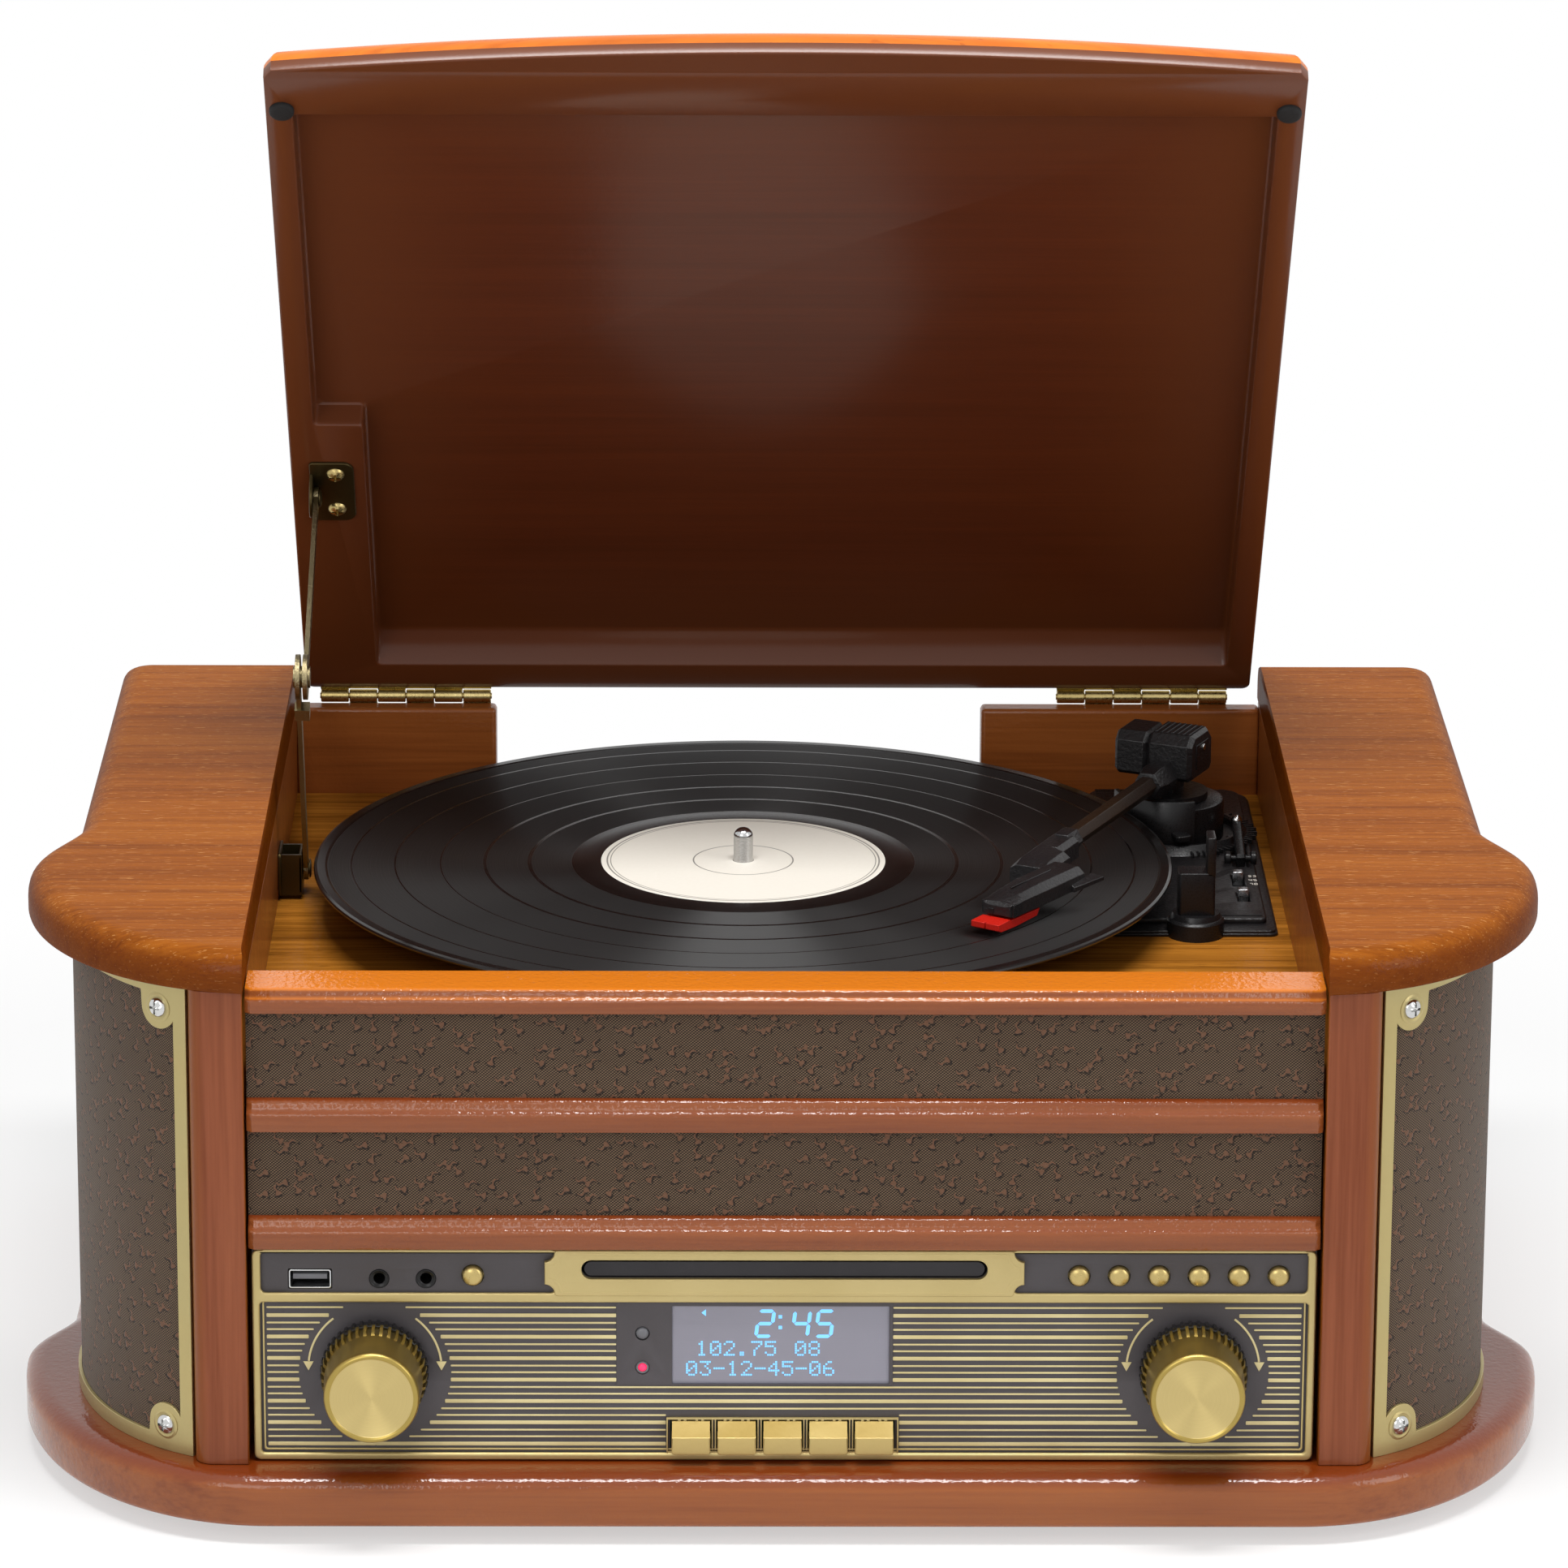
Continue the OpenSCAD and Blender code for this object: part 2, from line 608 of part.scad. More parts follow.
// A domed push button with its stem and the flange that keeps it in the panel
module button(x) translate([x, 0, button_z]) facing(switch_y - press - 0.1) {
    stem = switch_y - press - 0.1 - panel_front;
    rotate_extrude() polygon(concat([[0, 0], [2, 0], [2, stem - panel_t - 1.5],
        [button_r + 1, stem - panel_t - 1.5], [button_r + 1, stem - panel_t - 0.2],
        [button_r, stem - panel_t - 0.2], [button_r, stem + 0.8]],
        [for (t = [15:15:90]) [button_r * cos(t), stem + 0.8 + 1.6 * sin(t)]]));
}
module function_button() placed() color("#c9ad63") button(function_x);
module play_button() placed() color("#c9ad63") button(button_x0);
module stop_button() placed() color("#c9ad63") button(button_x0 + button_pitch);
module back_button() placed() color("#c9ad63") button(button_x0 + 2 * button_pitch);
module forward_button() placed() color("#c9ad63") button(button_x0 + 3 * button_pitch);
module record_button() placed() color("#c9ad63") button(button_x0 + 4 * button_pitch);
module eject_button() placed() color("#c9ad63") button(button_x0 + 5 * button_pitch);

// A key with a sloping top half and an upright lower half
module key(k) {
    x = key_x0 + k * key_pitch;
    translate([x, 0, key_z]) rotate([90, 0, 90]) linear_extrude(key_w)
        polygon([[switch_y - press - 0.1, 3], [key_front + 0.8, 0], [key_front, 0.8],
            [key_front, key_h * 0.58], [panel_front - 1.6, key_h], [panel_front + panel_t + 0.4, key_h],
            [switch_y - press - 0.1, key_h - 3]]);
}
module menu_key() placed() color("#c9ad63") key(0);
module info_key() placed() color("#c9ad63") key(1);
module scan_key() placed() color("#c9ad63") key(2);
module preset_key() placed() color("#c9ad63") key(3);
module enter_key() placed() color("#c9ad63") key(4);

// ---- Disc drive ----
module cd_tray() placed() color("#3f3d40") {
    front = 2;
    difference() {
        union() {
            facing(front + 4) translate([0, slot_z]) linear_extrude(4) pill(tray_w, tray_h);
            slab([-tray_w / 2 + 3, tray_w / 2 - 3], [front + 4 - eps, tray_l],
                [slot_z - tray_h / 2, slot_z + tray_h / 2 - 0.4]);
        }
        translate([0, front + 10 + disc_r, slot_z - tray_h / 2 + 2.4]) cylinder(r = disc_r, h = 10);
        translate([0, front + 10 + disc_r, slot_z - 10]) cylinder(r = 18, h = 20);
        slab([-18, 18], [front + 10 + disc_r, tray_l + 1], [slot_z - 10, slot_z + 10]);
    }
}
module cd_drive() placed() color("#9a9ca0") {
    w = tray_w / 2 + 6;
    low = slot_z - tray_h / 2;
    high = slot_z + tray_h / 2;
    difference() {
        slab([-w, w], [drive_y, tray_l + 12], [low - 16, high + 6]);
        slab([-w + 4, w - 4], [drive_y - 1, tray_l + 6], [low - 1, high + 4.5]);
        slab([-w + 8, w - 8], [drive_y + 6, tray_l], [low - 14.5, low]);
    }
    translate([0, drive_y - 6 + disc_r, low - 14.6]) cylinder(r = 12, h = 13);
    slab([-50, 50], [drive_y + disc_r + 10, drive_y + disc_r + 40], [low - 14.6, low - 6]);
    for (s = [-1, 1]) for (y = [drive_y, tray_l - 6])
        slab([s * w - 4, s * w + 4], [y, y + 18], [base_z, low - 16]);
}

// ---- Turntable ----
module platter() placed() color("#26262a") translate([platter_c[0], platter_c[1], platter_z])
    rotate_extrude() polygon([[spindle_r + run, 0.8], [12, 0.8], [12, platter_h - 3.5],
        [track_r - 4, platter_h - 3.5], [track_r - 4, 1], [track_r, 1], [track_r, platter_h - 3.5],
        [platter_r - 1, platter_h - 3.5], [platter_r, platter_h - 2.5],
        [platter_r, platter_h - 1], [platter_r - 1, platter_h], [platter_r - 1, platter_h + 2],
        [spindle_r + run, platter_h + 2]]);
module record() placed() color("#141416") translate([platter_c[0], platter_c[1], record_z])
    rotate_extrude() polygon([[spindle_r + run, 0], [record_r - 1, 0], [record_r, 0.6],
        [record_r, record_t - 0.6], [record_r - 1, record_t], [record_r - 4, record_t],
        [record_r - 4.6, record_t - 0.3], [label_r + 8, record_t - 0.3], [label_r + 7.4, record_t],
        [spindle_r + run, record_t]]);
module centre_spindle() placed() color("#c9ccd0") translate([platter_c[0], platter_c[1], 0])
    rotate_extrude() polygon(concat([[0, deck_z - board_t - 6], [6, deck_z - board_t - 6],
        [6, deck_z], [14, deck_z], [14, deck_z + 2], [7, deck_z + 2.4], [7, platter_z + 0.4],
        [spindle_r, platter_z + 0.4], [spindle_r, record_z + record_t + 0.3],
        [spindle_tip, record_z + record_t + 0.9], [spindle_tip, spindle_top - 3]],
        [for (t = [15:15:90]) [spindle_tip * cos(t), spindle_top - 3 + 3 * sin(t)]]));
module drive_motor() placed() color("#8d9094") translate([pulley_c[0], pulley_c[1], 0])
    difference() {
        union() {
            translate([0, 0, deck_z - board_t - 26]) cylinder(r = 16, h = 24);
            translate([0, 0, deck_z - board_t - 2]) cylinder(r = 20, h = 2);
        }
        translate([0, 0, deck_z - board_t - 14]) cylinder(r = 1 + run, h = 20);
    }
module motor_pulley() placed() color("#c9b26a") translate([pulley_c[0], pulley_c[1], 0]) {
    translate([0, 0, deck_z - board_t - 13.8]) cylinder(r = 1, h = board_t + 13.8);
    rotate_extrude() polygon([[0, deck_z - 6], [4, deck_z - 6], [4, platter_z + 0.4],
        [pulley_r + 1, platter_z + 0.4], [pulley_r + 1, platter_z + 1],
        [pulley_r, platter_z + 1], [pulley_r, platter_z + belt_h + 1.6],
        [0, platter_z + belt_h + 1.6]]);
}
// The belt runs round the track under the platter and round the pulley
function belt_path(grow) =
    let (r1 = track_r + grow, r2 = pulley_r + grow, lean = acos((r1 - r2) / pulley_d))
    concat([for (k = [0:36]) let (t = pulley_angle + lean + (360 - 2 * lean) * k / 36)
            platter_c + r1 * [cos(t), sin(t)]],
        [for (k = [0:8]) let (t = pulley_angle - lean + 2 * lean * k / 8)
            pulley_c + r2 * [cos(t), sin(t)]]);
module drive_belt() placed() color("#1a1a1a") translate([0, 0, platter_z + 1.4])
    linear_extrude(belt_h) difference() {
        polygon(belt_path(track_gap + belt_t));
        polygon(belt_path(track_gap));
    }

// ---- Tonearm ----
module tonearm_plate() placed() color("#1d1d1f") {
    difference() {
        union() {
            slab([plate_x0, plate_x1], [plate_y0, plate_y1], [deck_z, deck_z + 2]);
            slab([plate_x0 + 2.5, plate_x1 - 3.5], [plate_y0 + 9, plate_y1 - 3],
                [deck_z + 2 - eps, deck_z + plate_t]);
            translate([arm_c[0], arm_c[1], deck_z]) cylinder(r = turret_r, h = turret_z - deck_z);
            translate([arm_c[0], arm_c[1], deck_z]) cylinder(r = lift_r + 4, h = 7);
            translate([rest_c[0], rest_c[1], deck_z]) arm_rest();
        }
        translate([arm_c[0], arm_c[1], deck_z + 4]) cylinder(r = 4 + run, h = 40);
        translate([arm_c[0], arm_c[1], deck_z + plate_t]) difference() {
            cylinder(r = lift_r + 2 + gap, h = 40);
            cylinder(r = turret_r, h = 40);
        }
        slab([lever_c[0] - 2.8, lever_c[0] + 2.8], [lever_c[1] - 6, lever_c[1] + 32],
            [deck_z + 1, deck_z + 20]);
        slab([speed_c[0] - 2.2, speed_c[0] + 2.2], [speed_c[1] - 10, speed_c[1] + 4],
            [deck_z + 1, deck_z + 20]);
        slab([autostop_c[0] - 2.2, autostop_c[0] + 2.2], [autostop_c[1] - 7, autostop_c[1] + 4],
            [deck_z + 1, deck_z + 20]);
    }
    for (s = [-1, 1]) translate([lever_c[0] + s * 4.6, lever_c[1], lever_z]) rotate([0, 90, 0])
        difference() {
            cylinder(r = 3, h = 2.6, center = true);
            cylinder(r = 1.2, h = 4, center = true);
        }
}
// The rest post: a round foot, a shelf for the tube and a tall fin outside it
module arm_rest() {
    shelf = rest_z - deck_z;
    cylinder(r = 10, h = 6.5);
    translate([0, 0, 6]) cylinder(r = 8.6, h = 2.5);
    translate([-6.4, -5, 8]) cube([12.8, 10, shelf - 8]);
    translate([3.4, -5, shelf - eps]) cube([3, 10, 13]);
}
module arm_yoke() placed() color("#1d1d1f") translate([arm_c[0], arm_c[1], 0])
    rotate([0, 0, -arm_angle]) {
        translate([0, 0, deck_z + 4.4]) cylinder(r = 4, h = turret_z - deck_z - 4);
        translate([0, 0, turret_z + gap]) cylinder(r = 13, h = 2.4);
        slab([-2.4, 2.4], [-5, 6], [turret_z + 2, tilt_z + 5]);
        translate([0, 0, tilt_z]) rotate([0, 90, 0]) cylinder(r = 1.5, h = 15, center = true);
    }
// The arm in its own direction: the tube runs along -y from the pivot block
module tonearm() placed() color("#222224") translate([arm_c[0], arm_c[1], 0])
    rotate([0, 0, -arm_angle]) difference() {
        union() {
            pivot_block();
            translate([0, 0, tube_z]) rotate([90, 0, 0]) cylinder(r = tube_r, h = arm_l - 74);
            translate([0, -10, tube_z]) rotate([90, 0, 0]) cylinder(r = socket_r, h = 13);
            head_shell();
        }
        slab([-2.8, 2.8], [-6, 20], [turret_z, tilt_z + 6.2]);
        translate([0, 0, tilt_z]) rotate([0, 90, 0]) cylinder(r = 1.5 + run, h = 16, center = true);
    }
module pivot_block() {
    low = turret_z + 8.5;
    high = low + 17;
    translate([-19, 0, 0]) rotate([90, 0, 90]) linear_extrude(30)
        polygon([[-10, low + 1], [-8, low], [10, low], [12, low + 2], [12, high - 4], [8, high],
            [-7, high], [-10, high - 3.4]]);
}
// The head stands off to the right of the tube and is turned inwards
module head_place() {
    translate([head_x, 20 - arm_l, 0]) rotate([0, 0, -head_turn]) translate([0, arm_l - 20, 0])
        children();
}
module head_shell() {
    r_z = record_z + record_t;
    slab([-5.4, 5.2], [-arm_l + 60, -arm_l + 78], [tube_z - neck_drop, tube_z + 3.6]);
    slab([-5.4, head_x + 1.1], [-arm_l + 41, -arm_l + 66], [tube_z - neck_drop, tube_z + 3.6]);
    head_place() {
        translate([-7, -arm_l + 49, 0]) rotate([90, 0, 0]) linear_extrude(46)
            polygon([[0, tube_z - 3], [2.5, tube_z + 3], [11.5, tube_z + 3], [14, tube_z - 2],
                [14, tube_z - 4.5], [12, tube_z - 4.5], [10.5, tube_z], [3.5, tube_z],
                [2, tube_z - 4.5], [0, tube_z - 4.5]]);
        slab([-5, 5], [-arm_l + 8, -arm_l + 44], [r_z + 4.2, tube_z + 0.5]);
        slab([-6.5, 6.5], [-arm_l + 4, -arm_l + 17], [r_z + 5, tube_z + 1]);
        slab([5, 7.5], [-arm_l + 44, -arm_l + 54], [tube_z - 4.5, tube_z - 3]);
    }
}
module stylus() placed() color("#c22014") translate([arm_c[0], arm_c[1], 0])
    rotate([0, 0, -arm_angle]) head_place() translate([0, -arm_l, record_z + record_t]) {
        rotate([90, 0, 90]) translate([0, 0, -5.6]) linear_extrude(11.2)
            polygon([[-3.5, 2.2], [-3.5, 4.6], [4, 4.6], [4, 4], [22, 4], [20, 1.4], [6, 1.2]]);
        translate([0, 2, gap]) cylinder(r1 = 0.3, r2 = 0.8, h = 1.4);
    }
module lift_rail() placed() color("#1d1d1f") translate([arm_c[0], arm_c[1], 0]) {
    difference() {
        translate([0, 0, deck_z + plate_t + gap])
            cylinder(r = lift_r + 2, h = lift_top - deck_z - plate_t - gap);
        translate([0, 0, deck_z]) cylinder(r = lift_r, h = 60);
        translate([0, 0, deck_z]) linear_extrude(60)
            polygon([[0, 0], for (t = [-70:20:190]) 60 * [cos(t), sin(t)]]);
    }
    rotate([0, 0, -74]) slab([lift_r + 1, lift_r + 6.6], [-7, -1],
        [deck_z + plate_t + 4.4, deck_z + plate_t + 6.8]);
}
module cue_lever() placed() color("#26262a") translate([lever_c[0], lever_c[1], lever_z])
    rotate([15, 0, 0]) {
        slab([-1.9, 1.9], [-1.5, 24], [-1.5, 1.5]);
        translate([0, 25, 0.4]) sphere(r = 2);
        rotate([0, 90, 0]) cylinder(r = 2.4, h = 3.8, center = true);
        rotate([-15, 0, 0]) rotate([0, 90, 0]) cylinder(r = 1.15, h = 11, center = true);
    }
module slide_switch(c) translate([c[0], c[1], deck_z]) {
    slab([-1.9, 1.9], [-1, 2.6], [1.2, plate_t + 2.4]);
}
module speed_switch() placed() color("#c8c8c8") slide_switch(speed_c);
module autostop_switch() placed() color("#c8c8c8") slide_switch(autostop_c);

// ---- Lid: drawn shut, then turned open about the hinge pin ----
module opened() {
    translate([0, pin_y, pin_z]) rotate([-lid_open, 0, 0]) translate([0, -pin_y, -pin_z])
        children();
}
function lid_outline(i) =
    let (y0 = pin_y - lid_rear - i, y1 = pin_y - lid_rear - lid_l + i, w = lid_w / 2 - i)
    concat([[w, y0], [-w, y0], [-w, y1 + 3]],
        [for (k = [0:16]) let (u = -1 + k / 8) [u * (w - 3), y1 - lid_bow * (1 - u * u)]],
        [[w, y1 + 3]]);
module lid() placed() color("#5a2410") opened() difference() {
    y0 = pin_y - lid_rear;
    loft([for (i = [0.6, 0, 0, 1, 3.4, 8]) flip(lid_outline(i))], [lid_z, lid_z + 0.8, lid_z + 4.5,
        lid_z + lid_t - 4.6, lid_z + lid_t - 1.4, lid_z + lid_t]);
    difference() {
        slab([-lid_w / 2 + lid_edge, lid_w / 2 - lid_edge],
            [y0 - lid_l + lid_front_edge, y0 - lid_rear_edge], [lid_z - 1, lid_z + lid_hollow]);
        slab([-lid_w / 2, -lid_w / 2 + lid_block_w], [y0 - lid_block_l, y0], [lid_z - 2, lid_z + lid_t]);
    }
}
module lid_bumpers() placed() color("#1c1c1c") opened() both_sides()
    translate([lid_w / 2 - 5.5, pin_y - lid_rear - bumper_s, lid_z - bumper_t])
        cylinder(r = 4.2, h = bumper_t);
module knuckle(c, k) {
    l = hinge_l / hinge_knuckles;
    translate([c - hinge_l / 2 + k * l + 0.1, pin_y, pin_z]) rotate([0, 90, 0]) children();
}
module cabinet_hinge_leaves() placed() color("#a8863f") {
    l = hinge_l / hinge_knuckles;
    for (c = [hinge_left, hinge_right]) {
        for (k = [1, 3, 5]) difference() {
            union() {
                knuckle(c, k) cylinder(r = knuckle_r, h = l - 0.2);
                slab([c - hinge_l / 2 + k * l + 0.1, c - hinge_l / 2 + (k + 1) * l - 0.1],
                    [pin_y - knuckle_r - 0.4, pin_y], [back_wall_z, back_wall_z + leaf_t]);
            }
            translate([c, pin_y, pin_z]) rotate([0, 90, 0])
                cylinder(r = pin_r, h = hinge_l + 2, center = true);
        }
        slab([c - hinge_l / 2, c + hinge_l / 2], [pin_y - 8, pin_y - knuckle_r - 0.4 + eps],
            [back_wall_z, back_wall_z + leaf_t]);
        translate([c, pin_y, pin_z]) rotate([0, 90, 0]) cylinder(r = pin_r, h = hinge_l, center = true);
    }
    stay_wall_bracket();
}
module lid_hinge_leaves() placed() color("#a8863f") {
    l = hinge_l / hinge_knuckles;
    opened() for (c = [hinge_left, hinge_right]) difference() {
        union() {
            for (k = [0, 2, 4]) {
                knuckle(c, k) cylinder(r = knuckle_r, h = l - 0.2);
                slab([c - hinge_l / 2 + k * l + 0.1, c - hinge_l / 2 + (k + 1) * l - 0.1],
                    [pin_y - 4, pin_y], [lid_z - leaf_t, lid_z]);
            }
            slab([c - hinge_l / 2, c + hinge_l / 2], [pin_y - 12, pin_y - 3.4],
                [lid_z - leaf_t, lid_z]);
        }
        translate([c, pin_y, pin_z]) rotate([0, 90, 0])
            cylinder(r = pin_r + run, h = hinge_l + 2, center = true);
    }
    opened() stay_lid_bracket();
}

// ---- Folding stay: drawn in the plane of the arms, local x = cabinet y, local y = z ----
module stay_plane(x) {
    translate([x, 0, 0]) rotate([90, 0, 90]) translate([0, 0, -stay_t / 2]) children();
}
module stay_bar(l) {
    difference() {
        union() {
            translate([0, -3]) square([l, 6]);
            circle(r = stay_end);
            translate([l, 0]) circle(r = stay_disc);
        }
        circle(r = stay_pin + run);
    }
}
module stay_lower_arm() placed() color("#a8863f") stay_plane(stay_low_x)
    translate(stay_wall) rotate([0, 0, stay_low_angle]) {
        linear_extrude(stay_t) stay_bar(stay_low_l);
        translate([stay_low_l, 0, -0.8]) cylinder(r = 3.8, h = 0.8 + eps);
        translate([stay_low_l, 0, stay_t - eps]) cylinder(r = 3.8, h = 0.7 + eps);
        translate([stay_low_l - 16.5, -1, -0.7]) cube([4.5, 5, 2 * stay_t + 2]);
    }
module stay_upper_arm() placed() color("#a8863f") stay_plane(stay_up_x)
    translate(stay_lid) rotate([0, 0, stay_up_angle]) {
        linear_extrude(stay_t) stay_bar(stay_up_l);
        translate([stay_up_l, 0, stay_t - eps]) cylinder(r = 3.8, h = 0.8 + eps);
    }
module stay_wall_bracket() {
    y = stay_wall[0];
    z = stay_wall[1];
    low = deck_z + 1.6;
    slab([-half_bay, -half_bay + 1.2], [y - 9, y + 9], [low, z + 8]);
    slab([-half_bay, stay_low_x - stay_t / 2 - gap], [y - 7, y - 5.8], [low, z + 7]);
    slab([-half_bay, stay_low_x - stay_t / 2 - gap], [y + 5.8, y + 7], [low, z + 7]);
    slab([stay_low_x - stay_t / 2 - gap - 1.2, stay_low_x - stay_t / 2 - gap], [y - 7, y + 7],
        [low, z + 7]);
    translate([stay_low_x - stay_t / 2 - gap - 1, y, z]) rotate([0, 90, 0])
        cylinder(r = stay_pin, h = stay_t + 2 * gap + 1);
    translate([stay_low_x + stay_t / 2 + gap, y, z]) rotate([0, 90, 0]) cylinder(r = 3.4, h = 0.4);
}
module stay_lid_bracket() {
    y = stay_closed[0];
    z = stay_closed[1];
    tab = stay_up_x - stay_t / 2 - gap;
    slab([tab - 1.2, tab + 14.6], [y - 14, y + 19], [lid_z - 1.2, lid_z]);
    translate([tab - 1.2, 0, 0]) rotate([90, 0, 90]) linear_extrude(1.2) difference() {
        translate([y, z]) circle(r = 7);
        translate([y - 20, lid_z - 0.6]) square([40, 20]);
    }
    translate([tab - 1, y, z]) rotate([0, 90, 0]) cylinder(r = stay_pin, h = stay_t + 2 * gap + 1);
    translate([stay_up_x + stay_t / 2 + gap, y, z]) rotate([0, 90, 0]) cylinder(r = 3.2, h = 0.7);
    for (s = [-8, 12]) translate([tab + 8, y + s, lid_z - 2.4]) cylinder(r = 3, h = 1.3);
}

// ---- Inside and rear ----
module power_transformer() placed() color("#7d6a4a") {
    x = half_bay - 56.6;
    y = wall_back_y - 71;
    slab([x - 25, x + 25], [y - 25, y + 25], [base_z, base_z + 3]);
    slab([x - 20, x + 20], [y - 19, y + 19], [base_z + 3 - eps, base_z + 38]);
    slab([x - 15, x + 15], [y - 25, y + 25], [base_z + 9, base_z + 32]);
}
module rear_sockets() placed() color("#202022") {
    y0 = wall_back_y + 3;
    z = base_z + 32;
    difference() {
        slab([108, 132], [y0, y0 + 2.8], [z - 9, z + 9]);
        slab([112, 128], [y0 + 1, y0 + 4], [z - 5, z + 5]);
    }
    slab([-138, -92], [y0, y0 + 1], [z - 9, z + 9]);
    for (x = [-127, -109, -50]) translate([x, y0 + 2.9, z]) rotate([90, 0, 0]) difference() {
        cylinder(r = 4.2, h = 2.9);
        translate([0, 0, -1]) cylinder(r = 1.6, h = 3.4);
    }
}
module screws() placed() color("#c9b26a") {
    for (q = rear_screw_places()) translate([q[0], wall_back_y + 3, q[1]]) rotate([-90, 0, 0]) {
        rotate_extrude() polygon([[0, -3], [1.5, -3], [1.5, 0], [3.4, 0], [2.8, 1.6], [0, 2]]);
    }
    both_sides() for (z = frame_screw_heights()) translate([0, 0, z])
        along_normal(frame_screw_angle(), 0)
        rotate_extrude() polygon([[0, -1.1], [1.9, -1.1], [1.9, 0.1], [3.7, 0.1], [3.2, 1.4], [0, 1.9]]);
}

base_board();
rubber_feet();
front_posts();
shoulder_boards();
bay_walls();
deck_board();
rear_cover();
front_rails();
front_baffle();
cloth_covers();
speaker_shells();
grille_frames();
speaker_drivers();
control_panel();
panel_trim();
display_window();
front_sockets();
encoders();
circuit_boards();
volume_plunger();
tuning_plunger();
volume_knob();
tuning_knob();
function_button();
play_button();
stop_button();
back_button();
forward_button();
record_button();
eject_button();
menu_key();
info_key();
scan_key();
preset_key();
enter_key();
cd_tray();
cd_drive();
tonearm_plate();
platter();
record();
centre_spindle();
drive_motor();
motor_pulley();
drive_belt();
arm_yoke();
tonearm();
stylus();
lift_rail();
cue_lever();
speed_switch();
autostop_switch();
lid();
lid_bumpers();
cabinet_hinge_leaves();
lid_hinge_leaves();
stay_lower_arm();
stay_upper_arm();
power_transformer();
rear_sockets();
screws();
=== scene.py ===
from math import atan2, cos, degrees, dist, pi, radians, sin, sqrt
import bpy
import bmesh
from mathutils import Matrix, Vector
from mathutils.geometry import tessellate_polygon


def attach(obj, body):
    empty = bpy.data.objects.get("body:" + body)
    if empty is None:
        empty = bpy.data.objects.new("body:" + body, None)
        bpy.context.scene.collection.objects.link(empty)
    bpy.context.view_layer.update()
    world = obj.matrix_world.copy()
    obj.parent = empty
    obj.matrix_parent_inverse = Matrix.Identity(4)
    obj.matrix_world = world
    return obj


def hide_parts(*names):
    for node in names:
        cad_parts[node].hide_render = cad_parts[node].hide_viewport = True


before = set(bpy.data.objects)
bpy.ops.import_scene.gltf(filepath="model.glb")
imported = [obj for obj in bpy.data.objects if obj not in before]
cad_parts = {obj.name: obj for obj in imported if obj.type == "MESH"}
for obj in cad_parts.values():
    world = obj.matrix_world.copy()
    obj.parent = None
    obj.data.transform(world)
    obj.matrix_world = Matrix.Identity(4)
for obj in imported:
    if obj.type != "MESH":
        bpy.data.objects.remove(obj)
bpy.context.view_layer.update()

# Everything is drawn in millimetres in cabinet coordinates (y = 0 is the front of the posts)
# and moved into the frame when a mesh is made.
MID_Y = 162.85
HALF_BAY = 177.6
BASE_Z, POST_Z, SHOULDER_Z, DECK_Z, FOOT = 24.0, 190.0, 204.0, 156.0, 6.0
BACK_Y, WALL_BACK_Y, BACK_WALL_Z = 352.0, 346.0, 188.6
WING_X, WING_Y, WING_A, WING_B, SHOULDER_SIDE, BEND, LIP = 171.0, 97.0, 84.5, 103.0, 242.0, 50.0, 5.5
GRILLE_Y, GRILLE_A, GRILLE_B, GRILLE_SIDE, GRILLE_T0, GRILLE_END = 92.0, 70.7, 93.0, 232.0, 21.66, 142.0
PANEL_Z, PANEL_H, PANEL_W, PANEL_Y = 24.6, 74.3, 352.8, 3.0
STRIP_Z, FIELD_Z = 83.7, 80.4
RAIL1_Z, RAIL_H, STRIP_H, TOP_RAIL_H = 100.0, 10.6, 30.4, 8.0
KNOB_X, KNOB_Z, DISC_Z, DISC_R = 136.0, 56.8, 55.1, 25.3
SLOT_Z, SLOT_W, SLOT_H = 92.2, 134.6, 6.7
BUTTON_Z, FUNCTION_X, JACK_X, JACK_Z, USB_X = 89.5, -103.3, (-134.3, -118.8), 88.2, -157.2
LCD_X, LCD_Z, LCD_FRAME_X, LCD_FRAME_Z = (-37.3, 35.0), (51.0, 78.7), (-55.8, 36.2), 50.7
LAMP_X, SENSOR_Z, LAMP_Z = -47.1, 69.0, 56.9
KEY_X0, KEY_W, KEY_PITCH, KEY_Z, KEY_H, KEY_Y = -37.4, 12.9, 15.25, 28.0, 10.4, -3.0
CX, CY = -13.3, 192.9
RECORD_Z, RECORD_R, LABEL_R = 173.0, 150.8, 50.0
ARM_C, ARM_A, TURRET_Z, TUBE_Z = (142.0, 275.0), 24.8, 174.0, 184.5
LID_W, LID_L, LID_Z, LID_Y0, LID_BOW = 348.6, 349.0, 192.1, 341.9, 10.0
PIN_Y, PIN_Z, OPEN = 345.5, 191.2, 51.9


def sind(t): return sin(radians(t))
def cosd(t): return cos(radians(t))


def at(x=0.0, y=0.0, z=0.0):
    return Matrix.Translation((x, y, z))


def turn(axis, angle):
    return Matrix.Rotation(radians(angle), 4, axis)


def facing(y, x=0.0, z=0.0):
    """Local x, y lie in the front plane and local z comes forwards from y."""
    return Matrix(((1, 0, 0, x), (0, 0, -1, y), (0, 1, 0, z), (0, 0, 0, 1)))


def side_on(x):
    """Local x, y lie in a side plane as y, z and local z goes to the right from x."""
    return Matrix(((0, 0, 1, x), (1, 0, 0, 0), (0, 1, 0, 0), (0, 0, 0, 1)))


